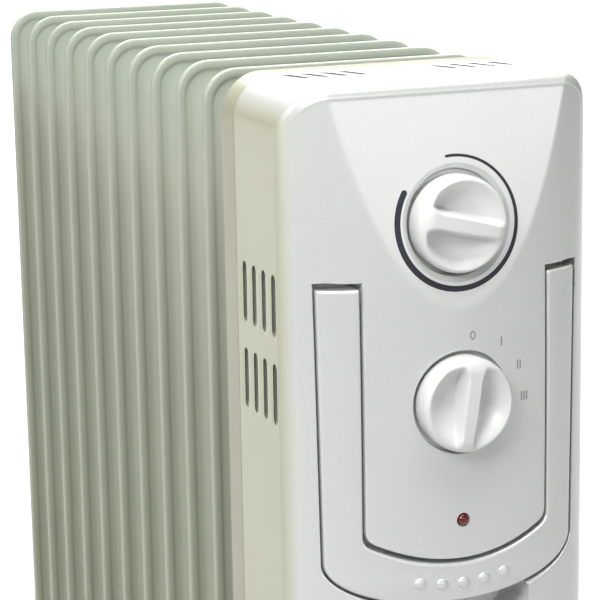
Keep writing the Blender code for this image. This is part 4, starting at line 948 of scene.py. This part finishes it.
# ---- materials
class Look:
    """A procedural material: colours, roughness and relief come from noise in the piece's own space."""

    def __init__(self, name, metallic=0.0, roughness=0.4, coat=0.0, coat_roughness=0.1, specular=0.5):
        self.material = bpy.data.materials.new(name)
        self.material.use_nodes = True
        self.nodes = self.material.node_tree.nodes
        self.shader = self.nodes["Principled BSDF"]
        for key, value in (("Metallic", metallic), ("Roughness", roughness), ("Coat Weight", coat),
                           ("Coat Roughness", coat_roughness), ("Specular IOR Level", specular)):
            self.shader.inputs[key].default_value = value
        self.place = self.nodes.new("ShaderNodeTexCoord").outputs["Object"]

    def join(self, source, target):
        self.material.node_tree.links.new(source, target)

    def noise(self, scale, detail=3.0, stretch=(1.0, 1.0, 1.0)):
        """Cloudy noise, finer along an axis with a larger stretch."""
        mapping = self.nodes.new("ShaderNodeMapping")
        mapping.inputs["Scale"].default_value = stretch
        self.join(self.place, mapping.inputs["Vector"])
        node = self.nodes.new("ShaderNodeTexNoise")
        node.inputs["Scale"].default_value = scale
        node.inputs["Detail"].default_value = detail
        self.join(mapping.outputs["Vector"], node.inputs["Vector"])
        return node.outputs["Fac"]

    def ramp(self, source, *stops):
        node = self.nodes.new("ShaderNodeValToRGB")
        points = node.color_ramp.elements
        while len(points) < len(stops):
            points.new(0.5)
        for point, (where, colour) in zip(points, stops):
            point.position = where
            point.color = (*colour, 1.0)
        self.join(source, node.inputs["Fac"])
        return node.outputs["Color"]

    def spread(self, source, low, high, from_low=0.3, from_high=0.7):
        """Maps a stretch of a value to another stretch."""
        node = self.nodes.new("ShaderNodeMapRange")
        ends = {"From Min": from_low, "From Max": from_high, "To Min": low, "To Max": high}
        for key, value in ends.items():
            node.inputs[key].default_value = value
        self.join(source, node.inputs["Value"])
        return node.outputs["Result"]

    def mix(self, share, first, second, blend="MIX"):
        node = self.nodes.new("ShaderNodeMix")
        node.data_type = "RGBA"
        node.blend_type = blend
        for key, value in (("Factor", share), ("A", first), ("B", second)):
            socket = next(s for s in node.inputs if s.name == key and s.enabled)
            if hasattr(value, "links"):
                self.join(value, socket)
            else:
                socket.default_value = value
        return next(s for s in node.outputs if s.enabled)

    def position(self, axis):
        node = self.nodes.new("ShaderNodeSeparateXYZ")
        self.join(self.place, node.inputs["Vector"])
        return node.outputs[axis]

    def across(self):
        """The distance from the object's middle plane."""
        node = self.nodes.new("ShaderNodeMath")
        node.operation = "ABSOLUTE"
        self.join(self.position("X"), node.inputs[0])
        return node.outputs["Value"]

    def relief(self, source, strength, distance, after=None):
        node = self.nodes.new("ShaderNodeBump")
        node.inputs["Strength"].default_value = strength
        node.inputs["Distance"].default_value = distance
        self.join(source, node.inputs["Height"])
        if after:
            self.join(after, node.inputs["Normal"])
        return node.outputs["Normal"]

    def finish(self, colour, roughness, normal):
        for source, key in ((colour, "Base Color"), (roughness, "Roughness"), (normal, "Normal")):
            if source:
                self.join(source, self.shader.inputs[key])
        return self.material


def painted(name, dark, light, roughness, grain=900.0, strength=0.12, coat=0.0):
    """Moulded plastic or paint: faint cloudy colour, a fine grain, and a little wear in its gloss."""
    look = Look(name, 0.0, roughness, coat)
    colour = look.ramp(look.noise(14.0, 4.0), (0.35, dark), (0.65, light))
    rough = look.spread(look.noise(45.0, 5.0), roughness * 0.88, roughness * 1.14)
    fine = look.relief(look.noise(grain, 2.0), strength, 0.00012)
    return look.finish(colour, rough, look.relief(look.noise(60.0, 2.0), 0.05, 0.0006, fine))


def fin_paint():
    """Satin grey-green stove enamel: orange peel, a painted light tint that is warmer at the foot and cooler
    towards the top, and dust in faint patches.
    """
    look = Look("fin_enamel", 0.0, 0.42, 0.12, 0.25)
    cloud = look.ramp(look.noise(9.0, 4.0), (0.3, (0.372, 0.389, 0.326)), (0.7, (0.402, 0.417, 0.352)))
    # painted light: the colour is warmed towards the foot and cooled towards the top, standing in for the
    # light's colour at each height
    level = look.spread(look.position("Z"), 0.0, 1.0, FIN_TOP - 0.30, FIN_TOP)
    painted_light_tint = look.ramp(level, (0.0, (0.99, 0.995, 0.93)), (0.75, (0.98, 1.0, 0.98)), (1.0, (0.95, 1.0, 1.0)))
    colour = look.mix(1.0, cloud, painted_light_tint, "MULTIPLY")
    dust = look.spread(look.noise(160.0, 6.0), 0.0, 0.10, 0.50, 0.75)
    colour = look.mix(dust, colour, (0.50, 0.50, 0.46, 1.0))
    rough = look.spread(look.noise(70.0, 4.0), 0.36, 0.48)
    fine = look.relief(look.noise(420.0, 2.0), 0.16, 0.00015)
    return look.finish(colour, rough, look.relief(look.noise(2400.0, 1.0), 0.10, 0.00005, fine))


def cover_plastic():
    """Silver-white face with a fine pearl flake that passes into darker, warmer ivory sides, a painted shade
    and warm light on the side walls.
    """
    look = Look("pearl_plastic", 0.0, 0.30, 0.35, 0.12)
    side_start, side_end = 0.0720, 0.0768
    flake = look.ramp(look.noise(3200.0, 1.0), (0.42, (0.650, 0.662, 0.655)), (0.60, (0.715, 0.722, 0.715)))
    cloud = look.ramp(look.noise(8.0, 3.0), (0.3, (0.975, 0.98, 0.985)), (0.7, (1.0, 1.0, 0.995)))
    pearl = look.mix(1.0, flake, cloud, "MULTIPLY")
    # painted shade: the sides are coloured darker and warmer than the face, standing in for warm side light
    # and shade
    painted_side_shade = look.ramp(look.noise(12.0, 4.0), (0.35, (0.420, 0.425, 0.318)), (0.65, (0.445, 0.450, 0.340)))
    colour = look.mix(look.spread(look.across(), 0.0, 1.0, side_start, side_end), pearl, painted_side_shade)
    look.join(look.spread(look.across(), 0.32, 0.0, side_start, side_end), look.shader.inputs["Metallic"])
    rough = look.spread(look.noise(30.0, 3.0), 0.27, 0.34, 0.2, 0.8)
    return look.finish(colour, rough, look.relief(look.noise(2600.0, 1.0), 0.06, 0.00004))


def brushed(name, dark, light, roughness, stretch):
    """Metal with fine streaks along the axes that have a smaller stretch."""
    look = Look(name, 1.0, roughness)
    streak = look.noise(240.0, 5.0, stretch)
    colour = look.ramp(streak, (0.3, dark), (0.7, light))
    rough = look.spread(look.noise(60.0, 4.0), roughness * 0.8, roughness * 1.3)
    return look.finish(colour, rough, look.relief(streak, 0.15, 0.00008))


def glassy(name, deep, bright, transmission):
    look = Look(name, 0.0, 0.08, 0.6, 0.03)
    look.shader.inputs["Transmission Weight"].default_value = transmission
    colour = look.ramp(look.noise(900.0, 2.0), (0.3, deep), (0.7, bright))
    rough = look.spread(look.noise(500.0, 3.0), 0.08, 0.16)
    return look.finish(colour, rough, look.relief(look.noise(1400.0, 1.0), 0.08, 0.0001))


def make_looks():
    return {
        "fin": fin_paint(),
        "cover": cover_plastic(),
        "steel": brushed("bright_zinc", (0.60, 0.61, 0.62), (0.74, 0.75, 0.75), 0.28, (1.0, 1.0, 4.0)),
        "zinc": brushed("zinc_sheet", (0.50, 0.51, 0.50), (0.66, 0.67, 0.66), 0.38, (1.0, 1.0, 0.15)),
        "frame": painted("frame_plastic", (0.345, 0.342, 0.258), (0.362, 0.359, 0.275), 0.36, coat=0.15),
        "knob": painted("knob_plastic", (0.635, 0.64, 0.635), (0.675, 0.675, 0.67), 0.32, 1500.0, 0.05, 0.12),
        "black": painted("black_nylon", (0.020, 0.020, 0.022), (0.034, 0.034, 0.035), 0.45),
        "ink": painted("printed_ink", (0.012, 0.015, 0.024), (0.020, 0.024, 0.034), 0.45, 2500.0, 0.05),
        "grey_ink": painted("grey_ink", (0.22, 0.23, 0.25), (0.27, 0.28, 0.30), 0.45, 2500.0, 0.05),
        "rubber": painted("tyre_rubber", (0.028, 0.028, 0.028), (0.045, 0.044, 0.042), 0.62, 700.0, 0.2),
        "foot": painted("foot_enamel", (0.19, 0.20, 0.20), (0.23, 0.24, 0.24), 0.38, 500.0, 0.2, 0.2),
        "caster": brushed("caster_zinc", (0.50, 0.51, 0.52), (0.64, 0.65, 0.65), 0.34, (1.0, 1.0, 3.0)),
        "lens": glassy("red_lens", (0.14, 0.006, 0.006), (0.22, 0.012, 0.010), 0.35),
        "neon": glassy("neon_glass", (0.60, 0.35, 0.25), (0.75, 0.48, 0.34), 0.7),
        "brass": brushed("brass", (0.62, 0.46, 0.22), (0.74, 0.56, 0.28), 0.30, (1.0, 4.0, 1.0)),
        "gasket": painted("gasket_fibre", (0.30, 0.24, 0.18), (0.38, 0.31, 0.24), 0.80, 600.0, 0.4),
        "sheath": brushed("element_sheath", (0.30, 0.25, 0.20), (0.45, 0.38, 0.30), 0.42, (1.0, 0.2, 1.0)),
        "phenolic": painted("phenolic", (0.075, 0.045, 0.034), (0.105, 0.066, 0.048), 0.40),
        "nylon": painted("nylon", (0.74, 0.72, 0.64), (0.80, 0.78, 0.70), 0.48),
        "grey": painted("grey_plastic", (0.32, 0.33, 0.34), (0.38, 0.39, 0.40), 0.48),
        "ceramic": painted("ceramic", (0.78, 0.76, 0.70), (0.85, 0.83, 0.78), 0.35, 400.0, 0.2),
        "wire_live": painted("wire_live", (0.16, 0.07, 0.035), (0.21, 0.10, 0.05), 0.50),
        "wire_neutral": painted("wire_neutral", (0.035, 0.11, 0.34), (0.05, 0.15, 0.42), 0.50),
        "wire_earth": painted("wire_earth", (0.10, 0.30, 0.08), (0.42, 0.44, 0.07), 0.50),
    }


# the CAD nodes that keep their own shape, by the look that each takes
CARRIED = {
    "steel": ("thermostat_shaft", "switch_shaft", "cover_screw_left", "cover_screw_right",
              "handle_pin_left", "handle_pin_right"),
    "zinc": ("mounting_plate", "control_bracket"), "sheath": ("element_low", "element_high"),
    "brass": ("element_flange",), "gasket": ("element_gasket",), "phenolic": ("thermostat_body",),
    "black": ("rotary_switch_body",), "neon": ("pilot_lamp",), "nylon": ("terminal_block",),
    "grey": ("tilt_switch",), "ceramic": ("thermal_cutout",), "wire_live": ("wire_live",),
    "wire_neutral": ("wire_neutral",), "wire_earth": ("wire_earth",),
}

# ---- the scene
MIDDLE = (0, 0, 0.45)
# name, place, target, size, watts, colour
LIGHTS = (
    ("key", (-0.80, -0.85, 1.25), MIDDLE, (0.5, 0.5), 12, (1.0, 0.99, 0.96)),
    ("top", (-0.05, -0.50, 1.65), MIDDLE, (0.9, 0.4), 12.5, (1.0, 1.0, 0.99)),
    ("card", (0.35, -2.60, 1.05), (0.0, -0.2, 0.6), (3.0, 0.9), 13, (0.98, 0.99, 1.0)),
    ("left", (-2.2, 0.2, 1.0), MIDDLE, (1.2, 1.5), 8, (1.0, 1.0, 0.95)),
    ("above", (-0.3, 0.5, 2.2), MIDDLE, (2.0, 2.0), 9, (1.0, 1.0, 1.0)),
    ("back", (1.8, 4.5, 4.0), (1.8, 4.5, 0.0), (6.0, 6.0), 800, (1.0, 1.0, 1.0)),
)
CAMERA_PLACE = (-0.4392, -1.1216, 0.7613)
CAMERA_YAW, CAMERA_PITCH, CAMERA_ROLL = 0.3878, -0.2184, -0.0169
CAMERA_LENS = 135.7


def area_light(name, place, target, size, power, colour):
    data = bpy.data.lights.new(name, "AREA")
    data.shape = "RECTANGLE"
    data.size, data.size_y = size
    data.energy = power
    data.color = colour
    lamp = link(name, data)
    lamp.location = place
    lamp.rotation_euler = (Vector(target) - Vector(place)).to_track_quat("-Z", "Y").to_euler()


def make_studio():
    floor = prism("floor", circle(16.0, 64), "z", (-0.01, 0.0))
    look = Look("floor_paper", 0.0, 0.75)
    colour = look.ramp(look.noise(3.0, 3.0), (0.3, (0.54, 0.54, 0.54)), (0.7, (0.56, 0.56, 0.56)))
    floor.data.materials.append(look.finish(colour, None, look.relief(look.noise(300.0, 2.0), 0.1, 0.0002)))
    for light in LIGHTS:
        area_light(*light)
    world = bpy.data.worlds.new("studio")
    bpy.context.scene.world = world
    world.use_nodes = True
    background = world.node_tree.nodes["Background"]
    background.inputs["Color"].default_value = (1.0, 1.0, 1.0, 1.0)
    background.inputs["Strength"].default_value = 0.09


def make_camera():
    data = bpy.data.cameras.new("camera")
    data.lens = CAMERA_LENS
    data.sensor_width = 36.0
    camera = link("camera", data)
    turn = Matrix.Rotation(-CAMERA_YAW, 4, "Z") @ Matrix.Rotation(math.pi / 2 + CAMERA_PITCH, 4, "X")
    turn = turn @ Matrix.Rotation(CAMERA_ROLL, 4, "Z")
    camera.matrix_world = Matrix.Translation(CAMERA_PLACE) @ turn
    bpy.context.scene.camera = camera


bpy.context.scene.view_settings.view_transform = "Standard"
make_camera()
looks = make_looks()
make_front_cover()
make_rear_frame()
make_scale_arc()
make_switch_marks()
make_knob("thermostat_dial", "thermostat_knob", "thermostat", THERMOSTAT_Z, THERMOSTAT_POINTER)
make_knob("power_dial", "power_knob", "power", POWER_Z, POWER_POINTER)
make_handle()
make_fins()
make_feet()
make_oil_plug()
make_lens()
make_gland()
for look, nodes in CARRIED.items():
    for node in nodes:
        for slot in bpy.data.objects[node].material_slots:
            slot.material = looks[look]
make_studio()
